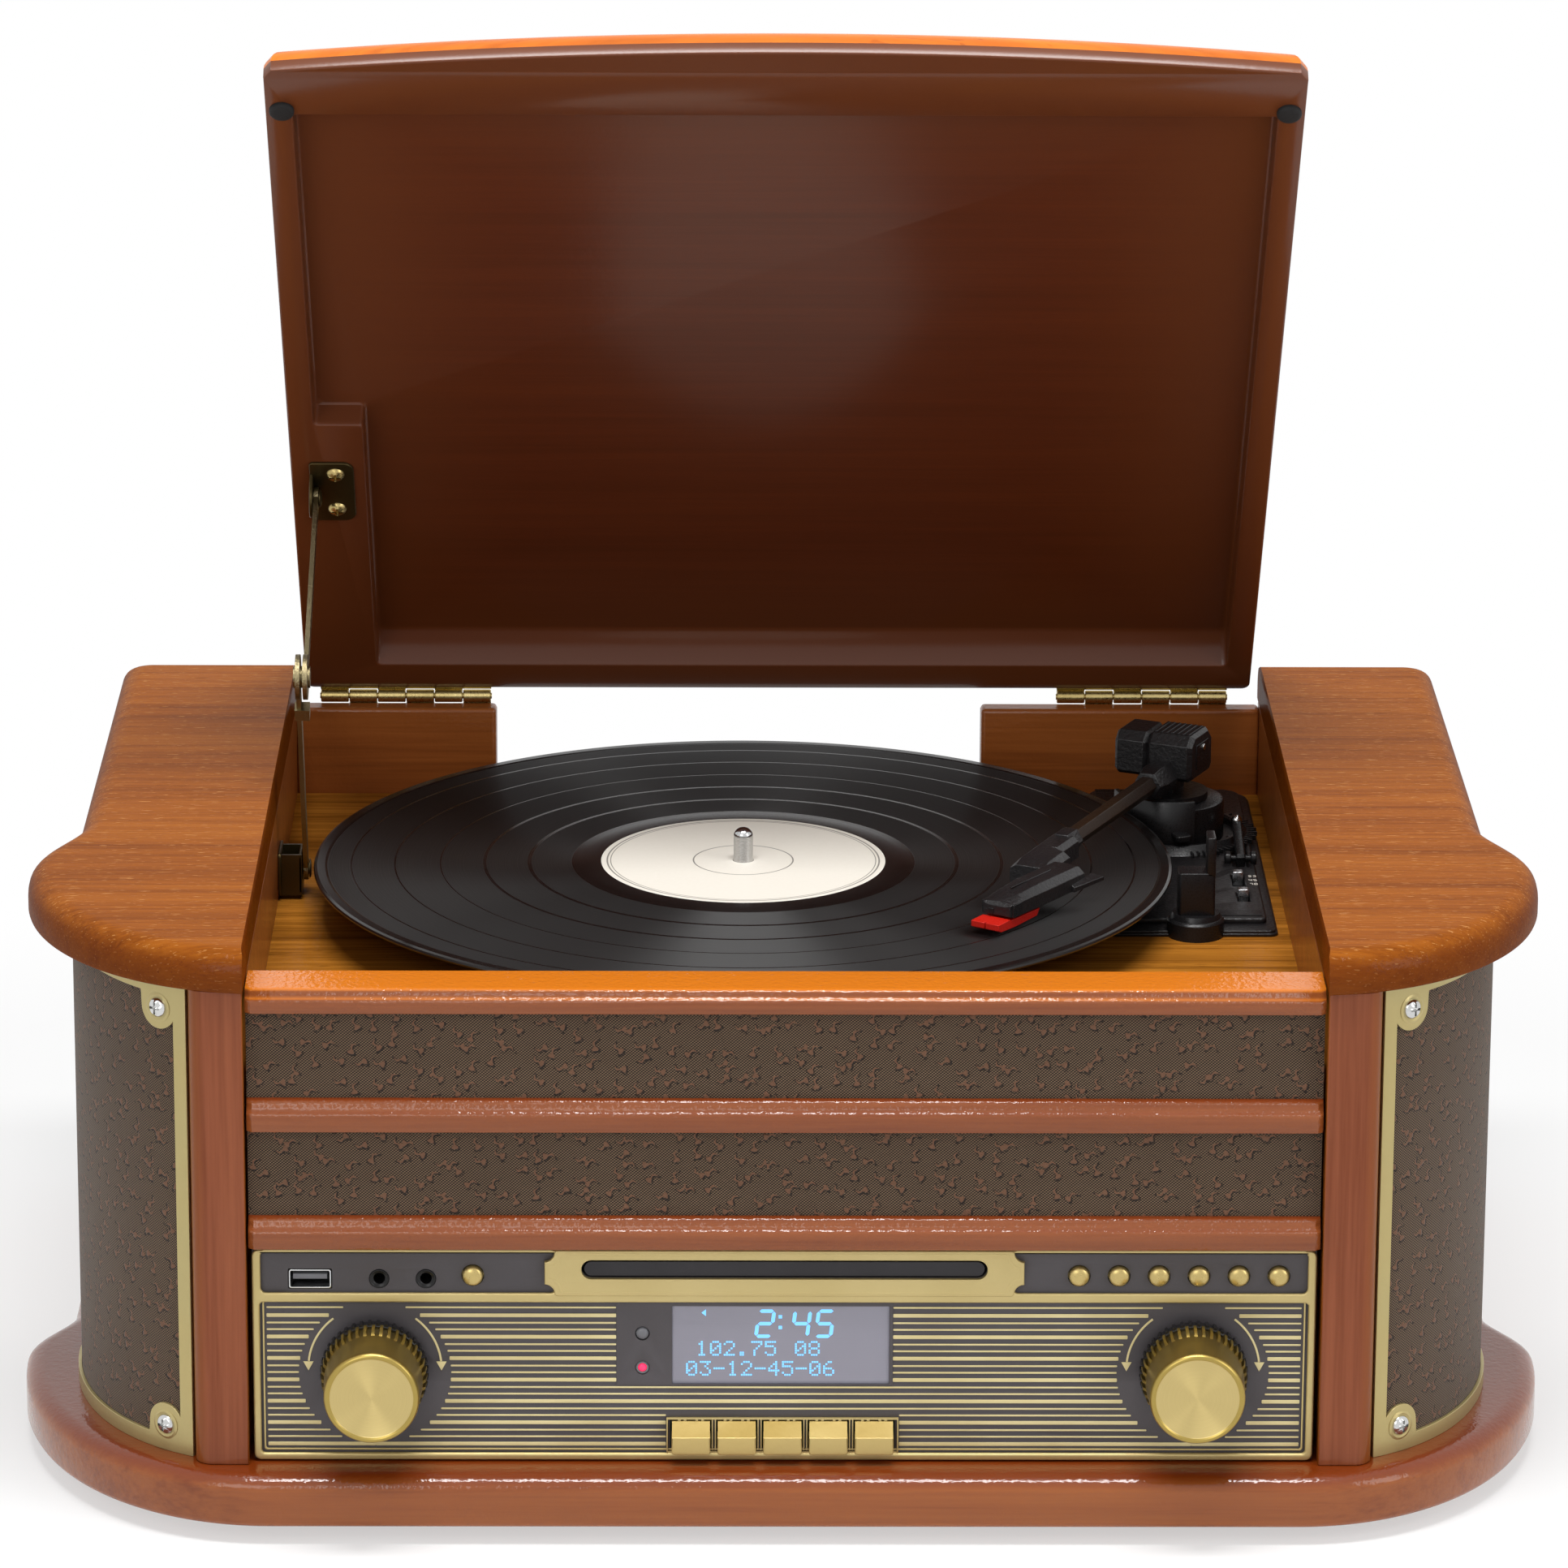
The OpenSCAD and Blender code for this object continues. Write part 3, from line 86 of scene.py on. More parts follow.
UNIT = Matrix.Identity(4)
SIDES = (UNIT, Matrix.Scale(-1, 4, (1, 0, 0)))
ARM = at(*ARM_C, 0) @ turn("Z", -ARM_A)
LID = at(0, PIN_Y, PIN_Z) @ turn("X", -OPEN) @ at(0, -PIN_Y, -PIN_Z)
HEAD = ARM @ at(8.5, -160, 0) @ turn("Z", -10) @ at(0, 160, 0)


# ---------------------------------------------------------------- camera and lights
def to_world(p):
    return Vector((p[0] * 0.001, (p[1] - MID_Y) * 0.001, p[2] * 0.001))


def in_scene(name, data):
    ob = bpy.data.objects.new(name, data)
    bpy.context.scene.collection.objects.link(ob)
    return ob


cam = in_scene("camera", bpy.data.cameras.new("camera"))
right = Vector((0.99995697, -0.00823594, 0.00426857))
up = Vector((-0.00173582, 0.28589865, 0.95825829))
fwd = Vector((0.00911253, 0.95822447, -0.28587205))
cam.matrix_world = at(*to_world((-23.931, -2420.452, 982.505))) @ Matrix(
    (right, up, -fwd)).transposed().to_4x4()
cam.data.sensor_width = 36
cam.data.lens = 36 * 9582.8806 / 1932
cam.data.clip_start, cam.data.clip_end = 0.05, 60
bpy.context.scene.camera = cam
bpy.context.scene.view_settings.view_transform = "Standard"

for name, place, w, h, power in (("light_top", (0.02, -0.42, 1.7), 0.95, 0.32, 24.0),
                                 ("light_front", (-0.9, -2.1, 1.3), 1.2, 1.0, 11.0),
                                 ("light_right", (1.7, -1.1, 1.1), 0.8, 1.2, 9.0)):
    data = bpy.data.lights.new(name, "AREA")
    data.shape, data.size, data.size_y, data.energy = "RECTANGLE", w, h, power
    ob = in_scene(name, data)
    ob.location = place
    ob.rotation_mode = "QUATERNION"
    ob.rotation_quaternion = (Vector((0, 0, 0.15)) - Vector(place)).to_track_quat("-Z", "Y")


# ---------------------------------------------------------------- materials
def hexc(h):
    v = [int(h[i:i + 2], 16) / 255 for i in (1, 3, 5)]
    return tuple(c / 12.92 if c <= 0.04045 else ((c + 0.055) / 1.055) ** 2.4 for c in v) + (1.0,)


class Val:
    """An output socket that takes + - * / and abs()."""

    def __init__(self, tree, socket):
        self.tree, self.socket = tree, socket

    def __add__(self, b): return self.tree.math("ADD", self, b)
    def __sub__(self, b): return self.tree.math("SUBTRACT", self, b)
    def __mul__(self, b): return self.tree.math("MULTIPLY", self, b)
    def __truediv__(self, b): return self.tree.math("DIVIDE", self, b)
    def __abs__(self): return self.tree.math("ABSOLUTE", self)


class Tree:
    """A node tree. Of a node's keywords, lower case ones are properties and others inputs."""

    def __init__(self, owner):
        owner.use_nodes = True
        self.t = owner.node_tree
        self.t.nodes.clear()

    def put(self, socket, v):
        v = v.socket if isinstance(v, Val) else v
        if isinstance(v, bpy.types.NodeSocket):
            self.t.links.new(v, socket)
        else:
            socket.default_value = hexc(v) if isinstance(v, str) else v

    def node(self, kind, *ins, **kw):
        n = self.t.nodes.new("ShaderNode" + kind)
        for k, v in kw.items():
            if k.islower():
                setattr(n, k, v)
        for i, v in enumerate(ins):
            self.put(n.inputs[i], v)
        for k, v in kw.items():
            if not k.islower():
                self.put(n.inputs[k.replace("_", " ")], v)
        return n

    def out(self, pick, kind, *ins, **kw):
        return Val(self, self.node(kind, *ins, **kw).outputs[pick])

    def coord(self, kind="Object", scale=(1, 1, 1), move=(0, 0, 0)):
        return self.out(0, "Mapping", Vector=self.node("TexCoord").outputs[kind], Scale=scale,
                        Location=move)

    def xyz(self, v):
        return [Val(self, s) for s in self.node("SeparateXYZ", v).outputs]

    def vec(self, x=0.0, y=0.0, z=0.0):
        return self.out(0, "CombineXYZ", x, y, z)

    def math(self, op, *ins, clamp=False):
        return self.out(0, "Math", *ins, operation=op, use_clamp=clamp)

    def mad(self, a, b, c):
        return self.math("MULTIPLY_ADD", a, b, c)

    def top(self, a, *more):
        for b in more:
            a = self.math("MAXIMUM", a, b)
        return a

    def vmath(self, op, *ins):
        return self.out("Value" if op == "LENGTH" else 0, "VectorMath", *ins, operation=op)

    def noise(self, v, scale=1.0, detail=2.0, rough=0.5, distort=0.0):
        return self.out("Fac", "TexNoise", Vector=v, Scale=scale, Detail=detail, Roughness=rough,
                        Distortion=distort)

    def step(self, v, lo, hi, a=0.0, b=1.0):
        """a below lo and b above hi, with a smooth change between."""
        return self.out(0, "MapRange", interpolation_type="SMOOTHSTEP", Value=v, From_Min=lo,
                        From_Max=hi, To_Min=a, To_Max=b)

    def ramp(self, v, *stops):
        """Three colours at their places."""
        n = self.node("ValToRGB", v)
        n.color_ramp.elements.new(0.5)
        for e, (place, colour) in zip(n.color_ramp.elements, stops):
            e.position, e.color = place, hexc(colour)
        return Val(self, n.outputs[0])

    def mix(self, f, a, b):
        n = self.node("Mix", data_type="RGBA")
        for i, v in ((0, f), (6, a), (7, b)):
            self.put(n.inputs[i], v)
        return Val(self, n.outputs[2])

    def bump(self, h, strength, distance):
        return self.out(0, "Bump", Height=h, Strength=strength, Distance=distance)

    def normal(self):
        return self.xyz(self.node("NewGeometry").outputs["Normal"])

    def round_axis(self, centre, other="y"):
        """The offsets x and y (or z) from an axis through centre, and the distance from it."""
        c = self.xyz(self.vmath("SUBTRACT", self.coord(), tuple(to_world(centre))))
        a, b = c[0], c["xyz".index(other)]
        return a, b, self.vmath("LENGTH", self.vec(a, b))

    def seen(self):
        """1 for rays of the camera and through gloss or glass, else 0."""
        rays = self.node("LightPath").outputs
        return self.top(*(rays[k] for k in ("Is Camera Ray", "Is Glossy Ray", "Is Transmission Ray")))


class Mat(Tree):
    """A material with one Principled shader."""

    def __init__(self, name, **sockets):
        self.m = bpy.data.materials.new(name)
        super().__init__(self.m)
        self.b = self.node("BsdfPrincipled", **sockets)
        self.node("OutputMaterial", self.b.outputs[0])

    def set(self, **kw):
        for k, v in kw.items():
            self.put(self.b.inputs[k.replace("_", " ")], v)
        return self.m


def wood(name, dark, mid, light, coord="Object", axis="x", pores=0.0, coat=0.4, coat_r=0.08,
         peel=0.10, figure=1.0, edge=None, spec=0.08, pore_glint=None):
    """Stained or veneered wood under lacquer: figure, fibres, open pores and orange peel; a pale colour,
    where given, paints short glints into the pores as a painted highlight.
    """
    m = Mat(name, Roughness=0.42, Coat_Weight=coat, Coat_Roughness=coat_r, Coat_IOR=1.5,
            Specular_IOR_Level=spec)

    def grain(along, across, detail=2.0, rough=0.5, distort=0.0, move=(0, 0, 0)):
        """Noise drawn out along the grain."""
        scale = [along if a == axis else across for a in "xyz"]
        return m.noise(m.coord(coord, scale, move), 1.0, detail, rough, distort)

    fibre = grain(26, 900, 3.0, 0.6)
    tone = grain(3, 75, 4.0, 0.62, 0.9 * figure) * 0.40 + fibre * 0.22 + m.mad(
        grain(6, 330, 2.0, 0.5, 1.2 * figure), 0.26, grain(5, 22) * 0.12)
    col = m.ramp(tone, (0.36, dark), (0.50, mid), (0.66, light))
    height = fibre * (0.10 + 0.4 * pores)
    if pores:
        zone = m.step(grain(9, 120), 0.42, 0.62)
        pore = m.step(grain(130, 2600, 1.0), 0.60, 0.70) * m.mad(zone, 0.8, 0.2)
        col = m.mix(pore * (0.75 * pores), col, dark)
        # Short pale dashes in the pores: a painted highlight for the glints off the lacquered pores.
        if pore_glint:
            col = m.mix(m.step(grain(170, 1500, move=(3, 5, 7)), 0.63, 0.70) * 0.55, col, pore_glint)
        height = height - pore * 0.8
    if edge:
        col = edge(m, col)
    soft = m.noise(m.coord(coord), 520, 2.0, 0.55)
    return m.set(Base_Color=col, Normal=m.bump(height + soft * 0.6, peel, 0.0008),
                 Coat_Normal=m.bump(soft + height * 0.5, peel, 0.0008))


def lid_burst(m, col):
    """The stain is lighter towards the lid's borders."""
    u, v, _ = m.xyz(m.coord("UV"))
    border = m.top(abs(u) / 0.172, abs(v - 0.175) / 0.18)
    return m.mix(m.step(border, 0.5, 1.02), col, "#64341a")


def upward(m, lo, hi, below, above):
    """One colour on faces that look sideways, another on those that look up."""
    return m.mix(m.step(m.normal()[2], lo, hi), below, above)


def rail_tops(m, col):
    top = m.mix(m.step(m.xyz(m.coord())[2], 0.186, 0.1875), "#7b3510", "#d0741a")
    return upward(m, 0.5, 0.98, col, top)


M = {
    "stained": wood("stained_wood", "#74391c", "#87492c", "#945535", axis="z", coat=0.35, figure=0.4,
                    edge=lambda m, c: m.mix(m.step(abs(m.normal()[0]), 0.1, 0.9), c, "#83430f")),
    "rails": wood("rail_wood", "#733615", "#82441f", "#8d4d26", peel=0.42, coat=0.75, coat_r=0.04,
                  figure=0.4, edge=rail_tops),
    "base": wood("base_wood", "#7a3b16", "#8e4c20", "#9a5624", peel=0.22, figure=0.3, coat=0.75,
                 coat_r=0.05, edge=lambda m, c: upward(m, 0.15, 0.97, c, "#74300b")),
    # The oak's pale pore dashes are a painted highlight.
    "oak": wood("oak_veneer", "#70370a", "#8f4d12", "#a35e1a", pores=0.9, peel=0.25, coat=0.16,
                coat_r=0.12, spec=0.0, pore_glint="#d39a58",
                edge=lambda m, c: upward(m, 0.35, 0.98, m.mix(0.7, c, "#5e2706"), c)),
    "deck": wood("deck_oak", "#5c320c", "#9c6320", "#c98430", pores=0.9, peel=0.15, coat=0.1,
                 coat_r=0.16, spec=0.0),
    "bay": wood("bay_wood", "#7d421b", "#915022", "#a25d2a", peel=0.25, figure=0.5),
    "lid": wood("lid_wood", "#53240d", "#592710", "#602b11", "UV", peel=0.04, coat=0.5, coat_r=0.19,
                figure=0.4, edge=lid_burst),
    "lid_top": wood("lid_top", "#96480c", "#c4661a", "#dc7e22", "UV", pores=0.8, peel=0.15)}


def gilt(name, colour, rough=0.42, metal=0.55, grain=0.25):
    m = Mat(name, Metallic=metal, Specular_IOR_Level=0.5)
    fine, patch = m.noise(m.coord(), 900, 3.0, 0.6), m.noise(m.coord(), 35)
    return m.set(Base_Color=m.mix(m.step(patch, 0.3, 0.7, 0.0, 0.4), colour, "#b8a46c"),
                 Roughness=m.step(fine, 0.2, 0.8, rough - 0.05, rough + 0.07),
                 Normal=m.bump(fine, grain, 0.0001))


def turned(name, colour, aniso, rough, lines, centre):
    """Metal turned on a lathe: fine rings round a y axis; the gloss fans out from it."""
    m = Mat(name, Metallic=1.0, Anisotropic=aniso)
    x, z, r = m.round_axis(centre, "z")
    rings = m.noise(m.vec(r * lines), 1.0, 2.0, 0.6)
    return m.set(Base_Color=m.mix(rings * 0.30, colour, "#a08b4e"),
                 Roughness=m.step(rings, 0.2, 0.8, rough - 0.05, rough + 0.06),
                 Tangent=m.vmath("NORMALIZE", m.vec(x, 0.0, z)), Normal=m.bump(rings, 0.06, 0.0001))


def moulded(name, colour, light, rough=0.5, grain=700.0, depth=0.35, metal=0.0, spec=0.28):
    m = Mat(name, Metallic=metal, Specular_IOR_Level=spec)
    fine, patch = m.noise(m.coord(), grain, 3.0, 0.65), m.noise(m.coord(), 40)
    return m.set(Base_Color=m.mix(m.step(patch, 0.35, 0.75, 0.0, 0.7), colour, light),
                 Roughness=m.step(fine, 0.25, 0.75, rough - 0.07, rough + 0.08),
                 Normal=m.bump(fine, depth, 0.00025))


for key, *rest in (
        ("gilt", "gilt_metal", "#c3b07a"), ("gilt_frame", "gilt_frame", "#b5a673", 0.36, 0.6),
        ("gilt_line", "gilt_print", "#ddcf9c", 0.5, 0.25),
        ("key_dark", "gilt_key_slope", "#8a7334", 0.45, 0.5), ("key_face", "gilt_key_face", "#bda568"),
        ("button", "button_gilt", "#c4ae70", 0.3, 0.75, 0.1)):
    M[key] = gilt(*rest)
# Two tones, roughness, fineness and depth of the texture, metal, specular level
for key, *rest in (
        ("panel", "panel_plastic", "#4d494b", "#514d50", 0.5, 1400, 0.15),
        ("black", "black_plastic", "#171516", "#1f1d1e", 0.36, 760, 1.0, 0.0, 0.4),
        ("black_smooth", "black_smooth", "#161516", "#1c1b1c", 0.3, 1800, 0.12),
        ("black_coarse", "black_coarse", "#1e1d1e", "#2c2b2c", 0.4, 620, 1.0),
        # The tube's brown tint is a painted reflection of the wood around it, on a tube that is black.
        ("arm_tube", "arm_tube", "#241912", "#2f2115", 0.34, 900, 0.3, 0.0, 0.2),
        ("rubber", "foot_rubber", "#1b1a1a", "#232222", 0.7, 900, 0.3),
        ("red", "stylus_red", "#b81a10", "#c22014", 0.32, 1200, 0.08),
        ("steel", "bare_steel", "#a9aaac", "#c4c5c7", 0.3, 1600, 0.1, 1.0),
        ("chrome", "chrome", "#c9c9c8", "#dcdcda", 0.14, 1600, 0.04, 1.0),
        ("brass", "hinge_brass", "#b09c66", "#cdbb86", 0.3, 900, 0.25, 1.0),
        ("brass_old", "stay_brass", "#857a5c", "#9c9070", 0.34, 1300, 0.9, 1.0),
        ("brass_dark", "bracket_brass", "#463b22", "#57492b", 0.36, 800, 0.25, 0.8),
        ("circuit", "circuit", "#1f5a30", "#2a6b3a", 0.4, 1200, 0.1),
        ("board", "fibreboard", "#4a2f1c", "#5d3d26", 0.75, 1300, 0.4),
        ("tray", "tray_plastic", "#2b292b", "#323033", 0.4, 1500, 0.12),
        ("lens", "sensor_lens", "#6e6e72", "#7e7e84", 0.18, 900, 0.04),
        ("spindle", "spindle_steel", "#bdbdbd", "#d4d4d3", 0.16, 1800, 0.05, 1.0)):
    M[key] = moulded(*rest)


def cloth_material():
    """Fine diagonal dot weave with short hooked tan flecks and, beside many of them, a dark patch that is
    painted shadow.
    """
    m = Mat("speaker_cloth", Roughness=0.85, Sheen_Weight=0.15, Sheen_Roughness=0.5,
            Specular_IOR_Level=0.25)
    uv = m.coord("UV")
    mm = m.vmath("MULTIPLY", uv, (1000.0, 1000.0, 0.0))
    x, y, _ = m.xyz(mm)
    across = m.math("SINE", (x + y * 1.3) * (2 * pi / 1.15))
    weave = m.step(m.mad(across, 0.8, m.math("SINE", (y - x * 0.9) * (2 * pi))), -0.7, 1.0)
    cell_x, cell_y = 6.6, 6.4
    cells = m.node("TexVoronoi", feature="F1", voronoi_dimensions="2D", Scale=1.0, Randomness=0.8,
                   Vector=m.vmath("MULTIPLY", mm, (1 / cell_x, 1 / cell_y, 0.0))).outputs
    px, py, _ = m.xyz(m.vmath("MULTIPLY", cells["Position"], (cell_x, cell_y, 0.0)))
    dx, dy = x - px, y - py
    angle = m.mad(m.xyz(cells["Color"])[0], 4.0, -2.0)
    ca, sa = m.math("COSINE", angle), m.math("SINE", angle)

    def fleck(ox, oy, grow):
        """A short hook: a knot with a bent tail."""
        ex, ey = dx + ox, dy + oy
        ly = ey * ca - ex * sa
        lx = (ex * ca + ey * sa) + m.math("SINE", ly * 1.7) * 0.55
        knot = m.vmath("LENGTH", m.vec((lx - 0.2) * 0.86, (ly + 1.1) * 0.95))
        tail = m.vmath("LENGTH", m.vec(lx * 2.3, (ly - 0.5) * 0.5))
        return m.step(m.math("MINIMUM", knot, tail), 0.66 + grow, 1.0 + grow, 1.0, 0.0)

    tan = fleck(0.0, 0.0, 0.0)
    # A slightly larger copy of each fleck, moved a little down and to one side, less the fleck itself, where
    # noise lets it: a painted shadow of the fleck.
    fleck_shadow = m.math("SUBTRACT", fleck(-0.3, 0.35, 0.5), tan, clamp=True) * m.step(
        m.noise(mm, 0.9, 3.0, 0.6), 0.38, 0.55)
    tone = m.noise(uv, 30.0)
    col = m.mix(weave, "#1b1410", m.mix(tone, "#6f5a46", "#7b654f"))
    # The painted shadow beside each fleck goes in dark.
    col = m.mix(fleck_shadow * 0.85, col, "#15100e")
    col = m.mix(tan * 0.9, col, m.mix(tone, "#6a4a38", "#765541"))
    return m.set(Base_Color=col, Normal=m.bump(weave * 0.4 + (tan - fleck_shadow * 0.5), 0.55, 0.0003))


def vinyl_material():
    """Grooves in bands of different density; they run round the spindle, so the gloss fans out."""
    m = Mat("vinyl", Specular_IOR_Level=0.6, Anisotropic=0.96)
    x, y, r = m.round_axis((CX, CY, 0))
    band, track = m.noise(m.vec(r * 160.0)), m.noise(m.vec(r * 2600.0), 1.0, 2.0, 0.6)
    gaps = m.step(abs(m.math("FRACT", (r + band * 0.006) * 64.0) - 0.5), 0.46, 0.485)
    run_out, rim = m.step(r, 0.0600, 0.0607, 1.0, 0.0), m.step(r, 0.1455, 0.1462)
    return m.set(Base_Color=m.mix(band * 0.6, "#0d0b0b", "#171413"),
                 Roughness=m.mad(m.top(gaps, run_out, rim), -0.3, m.step(track, 0.2, 0.8, 0.44, 0.56)),
                 Tangent=m.vmath("NORMALIZE", m.vec(x, y)), Normal=m.bump(track, 0.06, 0.0001))


def label_material():
    """Plain cream label with thin rings and a soft paper grain."""
    m = Mat("record_label", Roughness=0.6)
    r = m.round_axis((CX, CY, 0))[2]
    paper = m.noise(m.coord(), 600, 3.0, 0.6)
    rings = m.top(*(m.step(abs(r - r0), w, w + 0.00012, 1.0, 0.0)
                    for r0, w in ((0.0478, 0.00022), (0.0466, 0.0001), (0.0175, 0.0002))))
    return m.set(Base_Color=m.mix(rings * 0.8, m.mix(paper, "#e6e0d4", "#ece7dc"), "#5b5550"),
                 Normal=m.bump(paper, 0.08, 0.0001))


def lcd_material():
    m = Mat("display_glass", Roughness=0.22, Coat_Weight=0.4, Coat_Roughness=0.08)
    z = m.xyz(m.coord())[2]
    tone = m.mad(m.math("SINE", z * (2 * pi / 0.0006)), 0.06, m.noise(m.coord(), 25) * 0.5)
    col = m.mix(m.step(z, 0.0512, 0.0526, 1.0, 0.0), m.mix(tone, "#82808c", "#8d8b97"), "#6b6a76")
    return m.set(Base_Color=col, Emission_Color="#8f8d99", Emission_Strength=0.06)


def glow(name, colour, deep, strength):
    m = Mat(name, Roughness=0.4, Emission_Strength=strength)
    return m.set(Base_Color=colour, Emission_Color=m.mix(m.noise(m.coord(), 900) * 0.3, colour, deep))


M.update(cloth=cloth_material(), vinyl=vinyl_material(), label=label_material(), lcd=lcd_material(),
         digit=glow("display_digits", "#74bdf5", "#5aa8f0", 0.7),
         led=glow("power_lamp", "#ff2d5a", "#d01038", 0.9))
for name, x in (("volume_knob", -KNOB_X), ("tuning_knob", KNOB_X)):
    M[name] = turned(name + "_face", "#d0bb80", 0.9, 0.36, 3000, (x, 0, KNOB_Z))
    M[name + "_side"] = turned(name + "_side", "#ab9450", 0.35, 0.3, 1200, (x, 0, KNOB_Z))


# ---------------------------------------------------------------- mesh helpers
class Build:
    """Collects parts in millimetres and makes one Blender object of them."""

    def __init__(self):
        self.v, self.f, self.mi, self.uv = [], [], [], []

    def add(self, part, m=UNIT, mat=0, uv=lambda x, y, z: (x * 0.001, y * 0.001)):
        n, flip = len(self.v), m.to_3x3().determinant() < 0
        for p in part[0]:
            self.v.append(m @ Vector(p))
            self.uv.append(uv(*p))
        for f in part[1]:
            g = [i + n for i in f]
            self.f.append(g[::-1] if flip else g)
            self.mi.append(mat)
        return self

    def both(self, part, m=UNIT, mat=0):
        """A part and its mirror image on the other side."""
        for side in SIDES:
            self.add(part, side @ m, mat)
        return self

    def front(self, loops, t, bevel, res=1, y=PANEL_Y):
        """A plate that comes t forwards of the front plane at y."""
        return self.add(plate(loops, t, bevel, res), facing(y))

    def obj(self, name, mats, body="cabinet", bevel=0.0, seg=2, angle=32, smooth=32, replaces=None,
            slot=None, merge=1e-7):
        me = bpy.data.meshes.new(name)
        me.from_pydata([to_world(p) for p in self.v], [], self.f)
        for k in mats if isinstance(mats, list) else [mats]:
            me.materials.append(M[k])
        me.polygons.foreach_set("material_index", self.mi)
        layer = me.uv_layers.new(name="UVMap")
        for loop in me.loops:
            layer.data[loop.index].uv = self.uv[loop.vertex_index]
        bm = bmesh.new()
        bm.from_mesh(me)
        if merge:
            bmesh.ops.remove_doubles(bm, verts=bm.verts, dist=merge)
        bmesh.ops.recalc_face_normals(bm, faces=bm.faces)
        bm.to_mesh(me)
        bm.free()
        ob = in_scene(name, me)
        if bevel:
            b = ob.modifiers.new("bevel", "BEVEL")
            b.width, b.segments, b.limit_method = bevel * 0.001, seg, "ANGLE"
            b.angle_limit = radians(angle)
        me.polygons.foreach_set("use_smooth", [True] * len(me.polygons))
        me.set_sharp_from_angle(angle=radians(smooth))
        me.update()
        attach(ob, body)
        if replaces:
            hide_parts(replaces)
        return ob


def span(a, b, n):
    """n + 1 even steps from a to b."""
    return [a + (b - a) * k / n for k in range(n + 1)]


def arc(x, y, r, angles):
    return [(x + r * cosd(a), y + r * sind(a)) for a in angles]


def ring(radii, h, n):
    """n points round z at height h; radii holds one for each point, or is one for all."""
    radii = radii if isinstance(radii, list) else [radii] * n
    return [(r * cosd(360 * k / n), r * sind(360 * k / n), h) for k, r in enumerate(radii)]


def box(x0, x1, y0, y1, z0, z1):
    v = [(x, y, z) for z in (z0, z1) for y in (y0, y1) for x in (x0, x1)]
    return v, [(0, 2, 3, 1), (4, 5, 7, 6), (0, 1, 5, 4), (1, 3, 7, 5), (3, 2, 6, 7), (2, 0, 4, 6)]


def bands(n, rows, base=0):
    """Faces between rows of n points that follow each other, counted from base."""
    return [(base + j * n + i, base + j * n + (i + 1) % n, base + (j + 1) * n + (i + 1) % n,
             base + (j + 1) * n + i) for j in range(rows - 1) for i in range(n)]


def loft(rings):
    """Joins rings of equally many 3-D points and closes both ends."""
    n, last = len(rings[0]), (len(rings) - 1) * len(rings[0])
    return [p for r in rings for p in r], bands(n, len(rings)) + [
        list(range(n))[::-1], list(range(last, last + n))]


def prism(pts, h0, h1):
    n = len(pts)
    v = [(x, y, h) for h in (h0, h1) for x, y in pts]
    return v, [list(range(n))[::-1], list(range(n, 2 * n))] + bands(n, 2)


def lathe(profile, n=72):
    """Turns (radius, height) points round z. A radius of 0 closes the end."""
    v, f, rows = [], [], []
    for r, h in profile:
        if r < 1e-6:
            rows.append([len(v)] * n)
            v.append((0, 0, h))
        else:
            rows.append(list(range(len(v), len(v) + n)))
            v += ring(r, h, n)
    for a, b in zip(rows, rows[1:]):
        for i in range(n):
            j = (i + 1) % n
            q = [a[i], a[j], b[j], b[i]]
            q = [x for k, x in enumerate(q) if x != q[k - 1]]
            if len(q) > 2:
                f.append(q)
    return v, f


def plate(loops, t, bevel=0.0, res=1):
    """A flat shape with holes, t thick from z = 0, its edges rounded by bevel."""
    cu = bpy.data.curves.new("tmp", "CURVE")
    cu.dimensions, cu.fill_mode = "2D", "BOTH"
    for pts in loops:
        sp = cu.splines.new("POLY")
        sp.points.add(len(pts) - 1)
        for k, (x, y) in enumerate(pts):
            sp.points[k].co = (x, y, 0, 1)
        sp.use_cyclic_u = True
    cu.extrude = t / 2 - bevel
    cu.bevel_depth, cu.bevel_resolution, cu.offset = bevel, res, -bevel
    ob = in_scene("tmp", cu)
    me = bpy.data.meshes.new_from_object(ob.evaluated_get(bpy.context.evaluated_depsgraph_get()))
    v = [(p.co.x, p.co.y, p.co.z + t / 2) for p in me.vertices]
    f = [list(p.vertices) for p in me.polygons]
    bpy.data.objects.remove(ob)
    bpy.data.curves.remove(cu)
    bpy.data.meshes.remove(me)
    return v, f


def rrect(x0, x1, y0, y1, r, n=5):
    """Rounded rectangle, anticlockwise; r may be a list for the corners from lower left."""
    out = []
    for x, y, sx, sy, a, q in zip((x0, x1, x1, x0), (y0, y0, y1, y1), (1, -1, -1, 1), (1, 1, -1, -1),
                                  (180, 270, 0, 90), r if isinstance(r, list) else [r] * 4):
        out += arc(x + sx * q, y + sy * q, q, span(a, a + 90, n))
    return out


def circle(x, y, r, n=40):
    return arc(x, y, r, span(0, 360, n)[:-1])


def pill(y, w, h):
    s = (w - h) / 2
    return arc(s, y, h / 2, span(-90, 90, 12)) + arc(-s, y, h / 2, span(90, 270, 12))


def screw_head(r, h, depth):
    """A domed head with a cross sunk into it."""
    n, star = 48, []
    for k in range(n):
        q = min(360 * k / n % 90, 90 - 360 * k / n % 90)
        star.append(r * (0.62 if q < 12 else 0.62 - 0.40 * min(1, (q - 12) / 12)))
    return loft([ring(r * cos(t), h * sin(t), n) for t in (0.0, 0.35, 0.7)] + [
        ring(star, h * 0.93, n), ring([s * 0.86 for s in star], h - depth, n)])


# ---------------------------------------------------------------- outlines
def ease(x0, y0, x1, y1, n):
    """Points after x0, y0 along an S-bend to x1, y1."""
    return [(x1 + (x0 - x1) * (1 + cosd(180 * k / n)) / 2, y0 + (y1 - y0) * k / n)
            for k in range(1, n + 1)]


